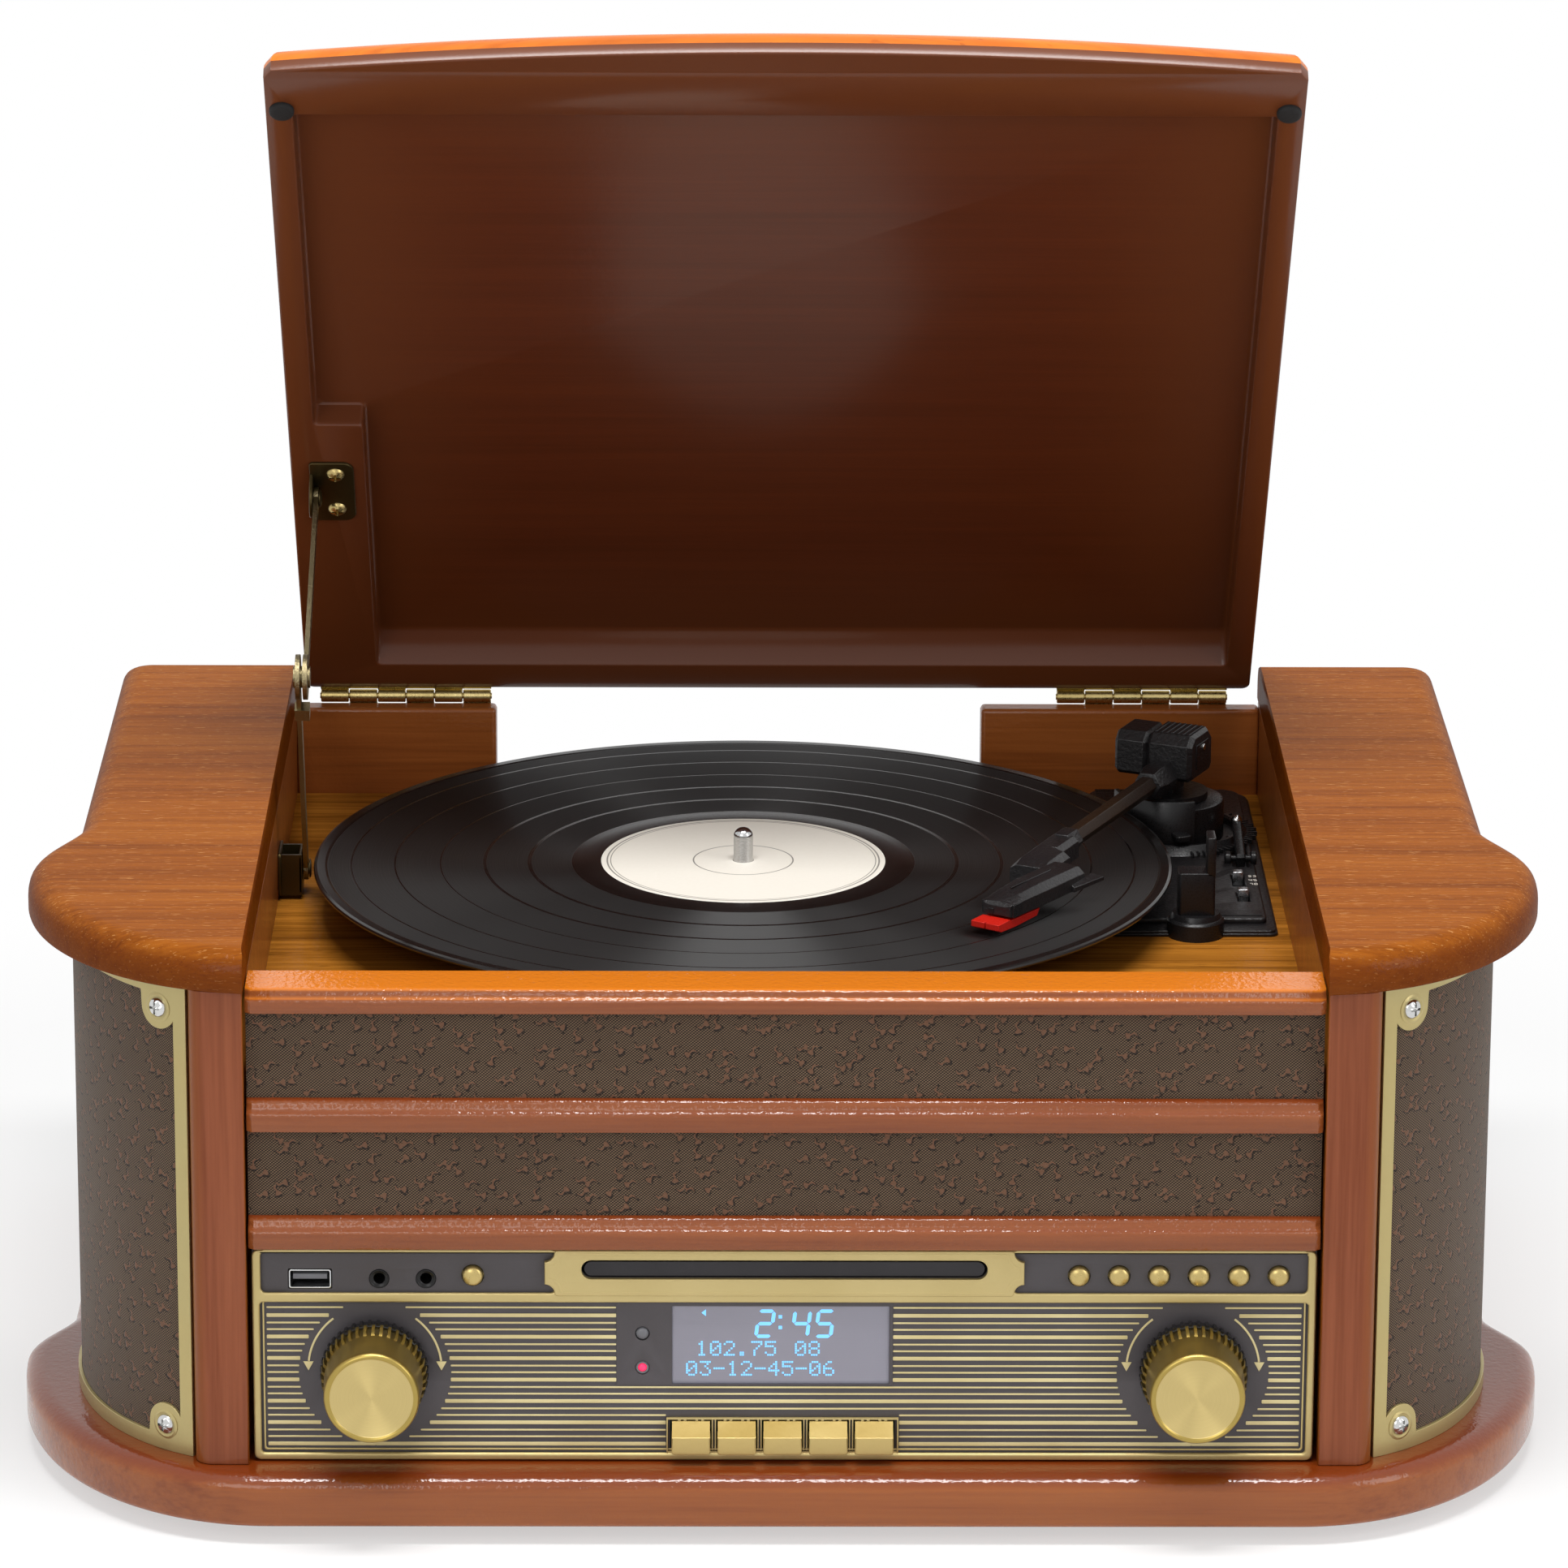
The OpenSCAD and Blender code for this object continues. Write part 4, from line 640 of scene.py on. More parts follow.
def wing(grow, i, back, rear_r):
    """The outline of a side from its front middle to its rear corner, drawn in by i."""
    pts = [(WING_X + (WING_A + grow - i) * sind(t),
            WING_Y + 2 * grow - (WING_B + 3.4 * grow - i) * cosd(t)) for t in span(0, 90, 44)]
    x1 = SHOULDER_SIDE + grow - i
    pts += ease(WING_X + WING_A + grow - i, WING_Y + 2 * grow, x1, WING_Y + BEND, 18)
    return pts + arc(x1 - rear_r, back - i - rear_r, rear_r, range(0, 91, 15))


def grille_curve(i):
    pts = [(WING_X + (GRILLE_A - i) * sind(t), GRILLE_Y - (GRILLE_B - i) * cosd(t))
           for t in span(GRILLE_T0, 90, 48)]
    return pts + ease(WING_X + GRILLE_A - i, GRILLE_Y, GRILLE_SIDE - i, GRILLE_END, 20)


def arris(w, h, z, angles):
    """A rounded edge as (inset, height) points that starts at height z."""
    return [(w * (1 - cosd(t)), z + h * sind(t)) for t in angles]


def lengths(pts):
    s = [0.0]
    for a, b in zip(pts, pts[1:]):
        s.append(s[-1] + dist(a, b))
    return s


def along(pts, s, want):
    for k in range(len(s) - 1):
        if want <= s[k + 1] + 1e-9:
            t = (want - s[k]) / (s[k + 1] - s[k])
            return tuple(a + (b - a) * t for a, b in zip(pts[k], pts[k + 1]))
    return pts[-1]


# ---------------------------------------------------------------- cabinet
rings = []
for i, z in [(2.0, FOOT), (0.7, FOOT + 0.7), (0.0, FOOT + 2)] + arris(
        7, 5.5, BASE_Z - 5.5, range(0, 91, 10)):
    half = wing(LIP, i, BACK_Y, 6)
    rings.append([(x, y, z) for x, y in half + [(-x, y) for x, y in half[::-1]]])
Build().add(loft(rings)).obj("base_moulding", "base", replaces="base_board", slot="stained_wood",
                             smooth=40)
rings = []
rear = 349
for i, z in [(0.8, POST_Z), (0.2, POST_Z + 0.4), (0.0, POST_Z + 1)] + arris(
        9, 9, SHOULDER_Z - 9, range(0, 91, 9)):
    w = wing(0, i, rear, 5)
    x0 = HALF_BAY + 0.35 * max(0, z - SHOULDER_Z + 1.6)
    rings.append([(x0, w[0][1] + 0.4 * (x0 - HALF_BAY), z)]
                 + [(x, y, z) for x, y in w if x > HALF_BAY + 1.2] + [(x0, rear - i, z)])
Build().both(loft(rings)).obj("shoulder_tops", "oak", replaces="shoulder_boards",
                              slot="oak_veneer", smooth=40)
post = [(0, -2), (12, -2)] + arc(12, 4, 6, range(-80, 1, 10)) + [(18, 18), (0, 18)]
Build().both(prism([(x + HALF_BAY + 0.4, y) for x, y in post], BASE_Z, POST_Z)).obj(
    "corner_posts", "stained", bevel=0.5, replaces="front_posts", slot="stained_wood", smooth=40)
Build().both(box(HALF_BAY, HALF_BAY + 8, 16, WALL_BACK_Y, BASE_Z, POST_Z)).obj(
    "bay_sides", "bay", bevel=0.9, seg=3, slot="stained_wood")
wall = [(-HALF_BAY, DECK_Z - 18), (HALF_BAY, DECK_Z - 18), (HALF_BAY, BACK_WALL_Z), (75, BACK_WALL_Z),
        (75, DECK_Z), (-104, DECK_Z), (-104, BACK_WALL_Z), (-HALF_BAY, BACK_WALL_Z)]
Build().add(prism(wall, 0, 9), facing(WALL_BACK_Y)).obj(
    "bay_back", "bay", bevel=1.4, seg=3, replaces="bay_walls", slot="stained_wood")


def rail(z, h, back):
    """A rail with two rounded arrises and a flat lower face, mitred at its ends."""
    q = h / RAIL_H
    pts = [(back, 0), (-1.5, 0), (-1.9, 0.25), (-2.1, 0.8), (-2.1, 5.2 * q), (-2.02, 5.8 * q),
           (-1.75, 6.35 * q), (-1.35, 6.75 * q), (-0.9, 7.1 * q), (-0.35, 8.3 * q), (-0.1, 9.0 * q),
           (0.25, 9.7 * q), (0.8, 10.25 * q), (1.5, 10.52 * q), (2.4, h), (back, h)]
    ends = ((-HALF_BAY + 0.4, 1.6), (-HALF_BAY + 2.2, 0.0), (HALF_BAY - 2.2, 0.0), (HALF_BAY - 0.4, 1.6))
    return loft([[(x, y + cut if y < 3 else y, z + v) for y, v in pts] for x, cut in ends])


Build().add(rail(RAIL1_Z, RAIL_H, 4)).add(rail(RAIL1_Z + RAIL_H + STRIP_H, RAIL_H, 4)).add(
    rail(POST_Z - TOP_RAIL_H, TOP_RAIL_H, 20)).obj(
    "rail_mouldings", "rails", replaces="front_rails", slot="stained_wood", smooth=38)


# ---------------------------------------------------------------- cloth and its frames
def cloth(name, pts, z0, z1):
    s, n, rows = lengths(pts), len(pts), 8
    grid = [(x, y, z, u) for z in span(z0, z1, rows) for (x, y), u in zip(pts, s)]
    b = Build().add(([g[:3] for g in grid], [
        (j * n + k, j * n + k + 1, (j + 1) * n + k + 1, (j + 1) * n + k)
        for j in range(rows) for k in range(n - 1)]))
    b.uv = [(g[3] * 0.001, g[2] * 0.001) for g in grid]
    ob = b.obj(name, "cloth", slot="speaker_cloth", merge=0)
    return ob


front = [(x, 2.95) for x in span(-HALF_BAY + 0.4, HALF_BAY - 0.4, 60)]
lower = cloth("cloth_lower", front, RAIL1_Z + RAIL_H, RAIL1_Z + RAIL_H + STRIP_H)
cloth("cloth_upper", front, RAIL1_Z + 2 * RAIL_H + STRIP_H, POST_Z - TOP_RAIL_H)
side = grille_curve(1.2)
cloth("cloth_right", side, BASE_Z, POST_Z)
cloth("cloth_left", [(-x, y) for x, y in side], BASE_Z, POST_Z)
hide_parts("cloth_covers")

# Each frame's screws sit at one place along the curve, one low and one high
SCREW_T = GRILLE_T0 + (90 - GRILLE_T0) * 1.5 / 12
SCREW_AT = (WING_X + GRILLE_A * sind(SCREW_T), GRILLE_Y - GRILLE_B * cosd(SCREW_T))
SCREW_LOW, SCREW_HIGH = 9.3, 10


def frame_strip():
    """The flat metal frame of a grille, mapped onto its curve, with a lobe at each front corner."""
    g0, g1 = grille_curve(0.0), grille_curve(1.2)
    s0, s1 = lengths(g0), lengths(g1)
    total, h, rim, end_w, r, lobe = s0[-1], POST_Z - BASE_Z, 5.2, 5.0, 4.0, 7.4
    mid = min((dist(p, SCREW_AT), s) for p, s in zip(g0, s0))[1]
    stops = {0.0, end_w, total - end_w, total, *span(0, total, 170)}
    stops |= {u for k in range(7) for u in (end_w + r * k / 6, total - end_w - r * k / 6)}
    stops |= {mid + lobe * cos(pi * k / 16) for k in range(17)}
    stops = [u for u in sorted(stops) if 0 <= u <= total]

    def width(u, screw):
        w = rim
        for d in (u - end_w, total - end_w - u):
            if 0 <= d < r:
                w = max(w, rim + r - sqrt(max(0, r * r - (r - d) ** 2)))
        if abs(u - mid) < lobe:
            w = max(w, screw + sqrt(lobe * lobe - (u - mid) ** 2))
        return w

    v, f, cols = [], [], []
    for u in stops:
        p, q = along(g0, s0, u), along(g1, s1, s1[-1] * u / total)
        lo, hi = width(u, SCREW_LOW), h - width(u, SCREW_HIGH)
        cols.append([(len(v) + 2 * k, len(v) + 2 * k + 1) for k in range(6)])
        for z in (0, 0.5 * lo, lo, hi, 0.5 * (hi + h), h):
            v += [(*p, BASE_Z + z), (*q, BASE_Z + z)]
    solid = [(a + b) / 2 < end_w - 1e-6 or (a + b) / 2 > total - end_w + 1e-6
             for a, b in zip(stops, stops[1:])]
    for c, (a, b) in enumerate(zip(cols, cols[1:])):
        for i in range(5):
            if solid[c] or i != 2:
                f += [(a[i][0], b[i][0], b[i + 1][0], a[i + 1][0]),
                      (a[i][1], a[i + 1][1], b[i + 1][1], b[i][1])]
        f += [(*a[0], *b[0][::-1]), (a[5][0], *b[5], a[5][1])]
        if not solid[c]:
            f += [(a[2][0], *b[2], a[2][1]), (*a[3], *b[3][::-1])]
            if c and solid[c - 1]:
                f.append((*a[2], *a[3][::-1]))
            if c + 1 < len(solid) and solid[c + 1]:
                f.append((b[2][0], *b[3], b[2][1]))
    for i in range(5):
        f += [(*cols[0][i], *cols[0][i + 1][::-1]), (*cols[-1][i + 1], *cols[-1][i][::-1])]
    return v, f


Build().both(frame_strip()).obj("cloth_frames", "gilt_frame", bevel=0.35, angle=50,
                                replaces="grille_frames", slot="gilt_metal", smooth=45)
b = Build()
for z in (BASE_Z + SCREW_LOW, POST_Z - SCREW_HIGH):
    face = at(*SCREW_AT, z) @ turn("Z", degrees(atan2(
        -cosd(SCREW_T) / GRILLE_B, sind(SCREW_T) / GRILLE_A))) @ turn("Y", 90)
    b.both(screw_head(3.4, 1.7, 1.1), face @ at(0, 0, 0.05))
    b.both(lathe([(3.3, 0.02), (4.3, 0.35), (5.1, 0.02), (4.9, -0.6)], 40), face, 1)
for x in (GRILLE_SIDE - 10, HALF_BAY - 60):
    for z in (BASE_Z + 8, DECK_Z - 16):
        for s in (-1, 1):
            b.add(screw_head(3.4, 1.8, 1.0), at(s * x, WALL_BACK_Y + 3, z) @ turn("X", -90))
b.obj("cross_screws", ["chrome", "gilt_frame"], replaces="screws", slot="bare_steel", smooth=35)

# ---------------------------------------------------------------- control panel
px0, px1, pz0, pz1 = -PANEL_W / 2, PANEL_W / 2, PANEL_Z, PANEL_Z + PANEL_H
button_x = [97.7 + 13.25 * k for k in range(6)]
key_x = [KEY_X0 + KEY_PITCH * k for k in range(5)]
lcd = rrect(*LCD_X, *LCD_Z, 0.3)
slot = pill(SLOT_Z, SLOT_W, SLOT_H)
holes = [circle(x, BUTTON_Z, 3.75) for x in button_x + [FUNCTION_X]]
holes += [circle(x, JACK_Z, 3.35) for x in JACK_X]
holes += [rrect(USB_X - 7.3, USB_X + 7.3, JACK_Z - 3.5, JACK_Z + 3.5, 0.5)]
holes += [circle(s * KNOB_X, KNOB_Z, 4.6) for s in (-1, 1)] + [slot, lcd]
holes += [circle(LAMP_X, z, 2.4) for z in (SENSOR_Z, LAMP_Z)]
holes += [rrect(x - 0.4, x + KEY_W + 0.4, KEY_Z - 0.4, KEY_Z + KEY_H + 0.3, 0.3) for x in key_x]
Build().front([rrect(px0, px1, pz0, pz1, 0.5)] + holes, 3.0, 0.12, y=PANEL_Y + 3).front(
    [rrect(*LCD_FRAME_X, LCD_FRAME_Z, FIELD_Z - 0.1, 0.3), lcd]
    + [circle(LAMP_X, z, 2.5) for z in (SENSOR_Z, LAMP_Z)], 0.25, 0.08).obj(
    "panel_face", "panel", replaces="control_panel", slot="panel_plastic", smooth=40)

# Printed stripes, cut round the knobs, the display and the keys: one wide, two narrow in turn
stripes = [(78.2, 0.62)]
for z in [75.4 - 7.6 * k for k in range(7)]:
    stripes += [(z, 1.3), (z - 2.64, 0.62), (z - 5.0, 0.62)]
b = Build()
for z, w in stripes[:-2]:
    cuts = [(px1 - 4.6, 0)]
    if abs(z - DISC_Z) < DISC_R:
        c = sqrt(DISC_R ** 2 - (z - DISC_Z) ** 2)
        cuts += [(s * KNOB_X - c, s * KNOB_X + c) for s in (-1, 1)]
    if z > LCD_FRAME_Z:
        cuts.append(LCD_FRAME_X)
    if z < 42:
        cuts.append((KEY_X0 - 1.9, key_x[-1] + KEY_W + 1.9))
    x = px0 + 4.6
    for a, c in sorted(cuts):
        if a - x > 0.5:
            b.front([rrect(x, a, z - w / 2, z + w / 2, min(0.25, w * 0.4), 2)], 0.22, 0.09)
        x = c
# Turning arrows beside each knob
for cx in (-KNOB_X, KNOB_X):
    for e in (-1, 1):
        b.front([arc(cx, KNOB_Z, 22.45, span(90 + e * 38, 90 + e * 84, 20))
                 + arc(cx, KNOB_Z, 21.75, span(90 + e * 84, 90 + e * 38, 20))], 0.2, 0.05)
        hx = cx - e * 22.1
        b.front([[(hx - 1.7, KNOB_Z + 2.2), (hx + 1.7, KNOB_Z + 2.2), (hx, KNOB_Z - 1.0)]], 0.2, 0.05)
b.obj("panel_print", "gilt_line", slot="gilt_metal", smooth=40)


def tray_surround(i):
    """Outline of the tray surround: its ends bulge, with a hollow above and below."""
    w, z0, z1, r = SLOT_W / 2 + 12.2 - i, STRIP_Z - 0.9 + i, pz1 - i, 3.3 + i * 0.6
    half = [(w - r - 0.6, z0), (w - r, z0 + 0.8)]
    half += [(w - r * cosd(a), z0 + 0.8 + r * sind(a)) for a in range(15, 91, 15)]
    half += [(w - r * cosd(a), z1 - 0.8 - r * sind(a)) for a in range(90, 14, -15)]
    half += [(w - r, z1 - 0.8), (w - r - 0.6, z1)]
    return half + [(-x, z) for x, z in half[::-1]]


SIDE_GAP_X, MIDDLE_GAP_X = 75.8, 73.5
b = Build()
b.front([rrect(px0, px1, pz0, pz1, 2.4), rrect(px0 + 2.5, px1 - 2.5, pz0 + 2.4, FIELD_Z, 1.2),
         rrect(px0 + 2.9, -SIDE_GAP_X, STRIP_Z, pz1 - 0.7, 1.8),
         rrect(SIDE_GAP_X, px1 - 2.9, STRIP_Z, pz1 - 0.7, 1.8),
         rrect(-MIDDLE_GAP_X, MIDDLE_GAP_X, STRIP_Z + 1, pz1 - 2, 1)], 1.8, 0.7, 3)
b.front([rrect(px0 + 3.3, px1 - 3.3, pz0 + 3.2, FIELD_Z + 0.5, 1.0),
         rrect(px0 + 3.9, px1 - 3.9, pz0 + 3.75, FIELD_Z + 0.1, 0.8)], 0.7, 0.2)
b.front([tray_surround(0), slot], 2.15, 0.5, 3)
b.front([tray_surround(0.9), tray_surround(1.5)], 0.5, 0.22, y=PANEL_Y - 1.75)
b.front([pill(SLOT_Z, SLOT_W + 1.3, SLOT_H + 1.3), slot], 0.4, 0.18, y=PANEL_Y - 1.78)
# Key surround: thin ridges, a pair between each two keys and a row of tabs on top
kx0, kx1, kz1 = KEY_X0 - 1.7, key_x[-1] + KEY_W + 1.7, KEY_Z + KEY_H + 1.0
b.front([[(kx0, pz0 + 1), (kx0 + 0.5, pz0 + 1), (kx0 + 0.5, kz1 - 0.5), (kx1 - 0.5, kz1 - 0.5),
          (kx1 - 0.5, pz0 + 1), (kx1, pz0 + 1), (kx1, kz1), (kx0, kz1)]], 1.5, 0.2)
b.add(box(kx0, kx1, PANEL_Y - 1.2, PANEL_Y, pz0 + 0.6, KEY_Z - 0.5))
for x in [x - (KEY_PITCH - KEY_W) / 2 + e for x in key_x[1:] for e in (-0.5, 0.5)]:
    b.add(box(x - 0.2, x + 0.2, PANEL_Y - 1.3, PANEL_Y, KEY_Z, kz1 - 0.3))
for x in [x + KEY_W * e for x in key_x for e in (0.2, 0.35, 0.65, 0.8)]:
    b.add(box(x - 0.45, x + 0.45, PANEL_Y - 1.3, PANEL_Y, kz1 - 1.2, kz1 - 0.3))
b.obj("panel_frame", "gilt", replaces="panel_trim", slot="gilt_metal", smooth=40)

# Display: glass, a big clock in slanted segments, two rows of dots, sensor and lamp
Build().front([lcd], 2.6, 0.1, y=PANEL_Y + 3).obj(
    "display_glass", "lcd", replaces="display_window", slot="display")
sensor, lamp = facing(PANEL_Y + 3, LAMP_X, SENSOR_Z), facing(PANEL_Y + 3, LAMP_X, LAMP_Z)
Build().add(lathe([(2.3, 0), (2.3, 2.2), (2.0, 2.9), (1.4, 3.4), (0.7, 3.6), (0, 3.65)], 32), sensor).add(
    lathe([(2.3, 0), (2.3, 2.6), (2.0, 2.9), (1.5, 2.9), (1.45, 2.0), (0, 2.0)], 32), lamp).obj(
    "sensor_and_ring", "lens", slot="display")
Build().add(lathe([(1.45, 0), (1.45, 2.6), (1.1, 3.2), (0.5, 3.5), (0, 3.55)], 32), lamp).obj(
    "power_lamp", "led", slot="display")
SEGMENTS = {"2": "abged", "3": "abgcd", "4": "fgbc", "5": "afgcd", "7": "abc", "8": "abcdefg"}
# Seven rows of five dots each, a row's dots as the bits of a number
DOTS = {"0": (14, 17, 19, 21, 25, 17, 14), "1": (4, 12, 4, 4, 4, 4, 14), "2": (14, 17, 1, 2, 4, 8, 31),
        "3": (31, 2, 4, 2, 1, 17, 14), "4": (2, 6, 10, 18, 31, 2, 2), "5": (31, 16, 30, 1, 1, 17, 14),
        "6": (6, 8, 16, 30, 17, 17, 14), "7": (31, 1, 2, 4, 8, 8, 8), "8": (14, 17, 17, 14, 17, 17, 14),
        ".": (0, 0, 0, 0, 0, 12, 12), "-": (0, 0, 0, 31, 0, 0, 0), " ": ()}
DOT_PITCH, PRINT = 0.76, 0.06


def segment_digit(b, ch, x, z, w, h, t, m, slant):
    """A digit of up to seven bars with pointed ends."""
    g, e = t * 0.12, t / 2
    for s in SEGMENTS[ch]:
        x0, z0, x1, z1 = {"a": (0, h, w, h), "d": (0, 0, w, 0), "g": (0, h / 2, w, h / 2),
                          "f": (0, h / 2, 0, h), "e": (0, 0, 0, h / 2), "b": (w, h / 2, w, h),
                          "c": (w, 0, w, h / 2)}[s]
        flat = z0 == z1
        u0, u1 = (x0 + g, x1 - g) if flat else (z0 + g, z1 - g)
        bar = [(u0, 0), (u0 + e, -e), (u1 - e, -e), (u1, 0), (u1 - e, e), (u0 + e, e)]
        p = [(u, z0 + o) if flat else (x0 - o, u) for u, o in bar]
        b.add(prism([(x + a + c * slant, z + c) for a, c in p], 0, PRINT), m)


b = Build()
m = facing(PANEL_Y + 0.41)
for ch, x in (("2", -9.4), ("4", 2.6), ("5", 10.4)):
    segment_digit(b, ch, x, 67.9, 5.0, 8.9, 1.25, m, 0.12)
for z in (70.4, 74.2):
    b.add(prism(rrect(-1.9, -0.7, z, z + 1.2, 0.1, 2), 0, PRINT), m)
for text, x, z in (("102.75", -29.2, 61.0), ("08", 3.6, 61.0), ("03-12-45-06", -32.6, 53.9)):
    for ch in text:
        for dx, dz in [(i, 6 - j) for j, row in enumerate(DOTS[ch]) for i in range(5)
                       if row >> (4 - i) & 1]:
            b.add(prism(rrect(x + dx * DOT_PITCH, x + (dx + 0.84) * DOT_PITCH, z + dz * DOT_PITCH,
                              z + (dz + 0.84) * DOT_PITCH, 0.02, 1), 0, PRINT), m)
        x += 6 * DOT_PITCH
b.add(prism([(-27.5, 76.2), (-26, 77.4), (-26, 75)], 0, PRINT), m)
b.obj("display_digits", "digit", slot="display")

# Sockets
b = Build()
y = PANEL_Y + 13
for x in JACK_X:
    b.add(lathe([(1.9, 0), (1.9, 12.6), (2.2, 12.9), (2.6, 13.0), (2.9, 13.25), (3.2, 13.25),
                 (3.3, 12.9), (3.3, 11), (3.2, 0)], 40), facing(y, x, JACK_Z))
    b.add(lathe([(1.9, 1.0), (0, 1.0)], 24), facing(y, x, JACK_Z))
b.add(plate([rrect(-7, 7, -3.3, 3.3, 0.8), rrect(-6.5, 6.5, -2.8, 2.8, 0.5)], 13.2, 0.2),
      facing(y, USB_X, JACK_Z), 1)
b.add(box(USB_X - 5.6, USB_X + 5.6, y - 12.4, y - 1, JACK_Z - 0.2, JACK_Z + 1.5), mat=2)
b.add(box(USB_X - 6.5, USB_X + 6.5, y - 1.5, y - 0.5, JACK_Z - 2.8, JACK_Z + 2.8))
b.obj("socket_rings", ["black_smooth", "chrome", "lens"], replaces="front_sockets",
      slot="bare_steel", smooth=35)

# Knobs: turned gold cap with a rolled rim, flutes and a black ribbed ring behind
cap_h, flutes = 26.9, 40
for name, x in (("volume_knob", -KNOB_X), ("tuning_knob", KNOB_X)):
    f = facing(0.6, x, KNOB_Z)
    cap, ribs = Build(), Build()
    cap.add(lathe([(15.9, 3.6), (16.5, 5), (16.4, 11), (16.0, 20), (15.8, cap_h - 2.6),
                   (15.8, cap_h - 1.6), (15.55, cap_h - 0.7), (15.0, cap_h - 0.12), (14.5, cap_h),
                   (14.1, cap_h - 0.15), (13.8, cap_h - 0.5)], 96), f, 1)
    cap.add(lathe([(13.8, cap_h - 0.5), (13.4, cap_h - 0.62), (7, cap_h - 0.56), (0, cap_h - 0.5)], 96), f)
    ribs.add(lathe([(3.2, 0), (17.0, 0), (17.4, 0.4), (17.4, 3.6), (16.9, 4.0), (15.5, 4.0)], 80), f)
    for k in range(flutes):
        cap.add(loft([[(16.1, -0.62, 3.6), (16.1, 0.62, 3.6), (17.7, 0.5, 4.2), (17.7, -0.5, 4.2)],
                      [(16.1, -0.62, 11.5), (16.1, 0.62, 11.5), (17.3, 0.5, 9.6), (17.3, -0.5, 9.6)]]),
                f @ turn("Z", 360 / flutes * k), 1)
        ribs.add(box(17.0, 18.0, -0.55, 0.55, 0.4, 3.8), f @ turn("Z", 360 / flutes * (k + 0.5)))
    cap.obj(name + "_cap", [name, name + "_side"], body=name, replaces=name, slot="gilt_plastic",
            smooth=35)
    ribs.obj(name + "_ring", "black_smooth", body=name, slot="black_plastic", smooth=35)

for name, x in zip(["play", "stop", "back", "forward", "record", "eject", "function"],
                   button_x + [FUNCTION_X]):
    dome = [(0, 0), (2, 0), (2, 1.5), (4.3, 1.5), (4.3, 2.8), (3.4, 2.8), (3.4, 6.7)]
    dome += [(3.4 * cosd(a), 6.7 + 1.75 * sind(a)) for a in range(9, 90, 9)] + [(0, 8.45)]
    name += "_button"
    Build().add(lathe(dome, 48), facing(9.0, x, BUTTON_Z)).obj(
        name + "_dome", "button", body=name, replaces=name, slot="gilt_plastic", smooth=40)

# Keys: a dark slope above an upright face with rounded lower corners
for x0, name in zip(key_x, ["menu_key", "info_key", "scan_key", "preset_key", "enter_key"]):
    x1, z1, z2 = x0 + KEY_W, KEY_Z + KEY_H * 0.6, KEY_Z + KEY_H
    b = Build().front([rrect(x0, x1, KEY_Z, z1, [1.1, 1.1, 0.15, 0.15], 4)], 6.8, 0.35, 2, KEY_Y + 6.8)
    b.add(loft([[(x, y0 if z < z2 else y1, z) for x, z in ((x0 + 0.15, z1 - 0.1), (x1 - 0.15, z1 - 0.1),
                                                           (x1 - 0.15, z2), (x0 + 0.15, z2))]
                for y0, y1 in ((KEY_Y + 0.3, 1.4), (5, 5))]), mat=1)
    b.add(box(x0 + 1, x1 - 1, 4, 9.0, KEY_Z + 3, z2 - 3), mat=1)
    b.obj(name + "_cap", ["key_face", "key_dark"], body=name, replaces=name, slot="gilt_plastic",
          smooth=35)

# ---------------------------------------------------------------- turntable
disc = [(3.65, 0), (RECORD_R - 1.2, 0), (RECORD_R - 0.3, 0.35), (RECORD_R, 1.0), (RECORD_R - 0.3, 1.65),
        (RECORD_R - 1.2, 2.0), (RECORD_R - 4.0, 2.0), (RECORD_R - 4.8, 1.7), (LABEL_R + 8.2, 1.7),
        (LABEL_R + 7.2, 1.92), (LABEL_R + 0.2, 1.92), (3.65, 1.92)]
Build().add(lathe(disc, 180), at(CX, CY, RECORD_Z)).obj(
    "record_disc", "vinyl", body="platter", replaces="record", slot="vinyl", smooth=20)
Build().add(lathe([(3.7, 1.90), (3.7, 1.98), (LABEL_R - 0.1, 1.98), (LABEL_R, 1.90)], 120),
            at(CX, CY, RECORD_Z)).obj("record_label", "label", body="platter", slot="vinyl")
pin = [(0, 141), (6, 141), (6, DECK_Z), (14, DECK_Z), (14, DECK_Z + 2), (7, DECK_Z + 2.4), (7, 159.9),
       (3.57, 159.9), (3.57, 175.3), (3.4, 175.9), (3.4, 184)]
pin += [(3.4 * cosd(a), 184 + 3 * sind(a)) for a in range(10, 90, 10)] + [(0, 187)]
Build().add(lathe(pin, 48), at(CX, CY, 0)).obj(
    "spindle_pin", "spindle", replaces="centre_spindle", slot="bare_steel", smooth=35)

# ---------------------------------------------------------------- tonearm and its plate
PX0, PX1, PY0, PY1 = 112.0, 173.5, 164.0, 334.0
lever, speed, auto = (165.0, 240.0), (162.8, 221.0), (163.4, 200.0)
slots = [rrect(x - w, x + w, y - y0, y + y1, r) for (x, y), w, y0, y1, r in (
    (lever, 2.8, 6, 32, 1.0), (speed, 2.2, 10, 4, 0.4), (auto, 2.2, 7, 4, 0.4))]
deck, c = at(0, 0, DECK_Z), at(*ARM_C, DECK_Z)
b = Build()
b.add(plate([rrect(PX0, PX1, PY0, PY1, [3, 3, 8, 8])], 1.2, 0.4, 2), deck)
b.add(plate([rrect(PX0 + 0.6, PX1 - 0.6, PY0 + 0.6, PY1 - 0.6, [3, 3, 8, 8])] + slots, 1.2, 0.4, 2),
      deck @ at(z=0.9))
b.add(plate([rrect(PX0 + 2.5, PX1 - 3.5, PY0 + 9, PY1 - 3, [4, 2, 7, 7])] + slots, 2.2, 0.7, 2),
      deck @ at(z=1.8))
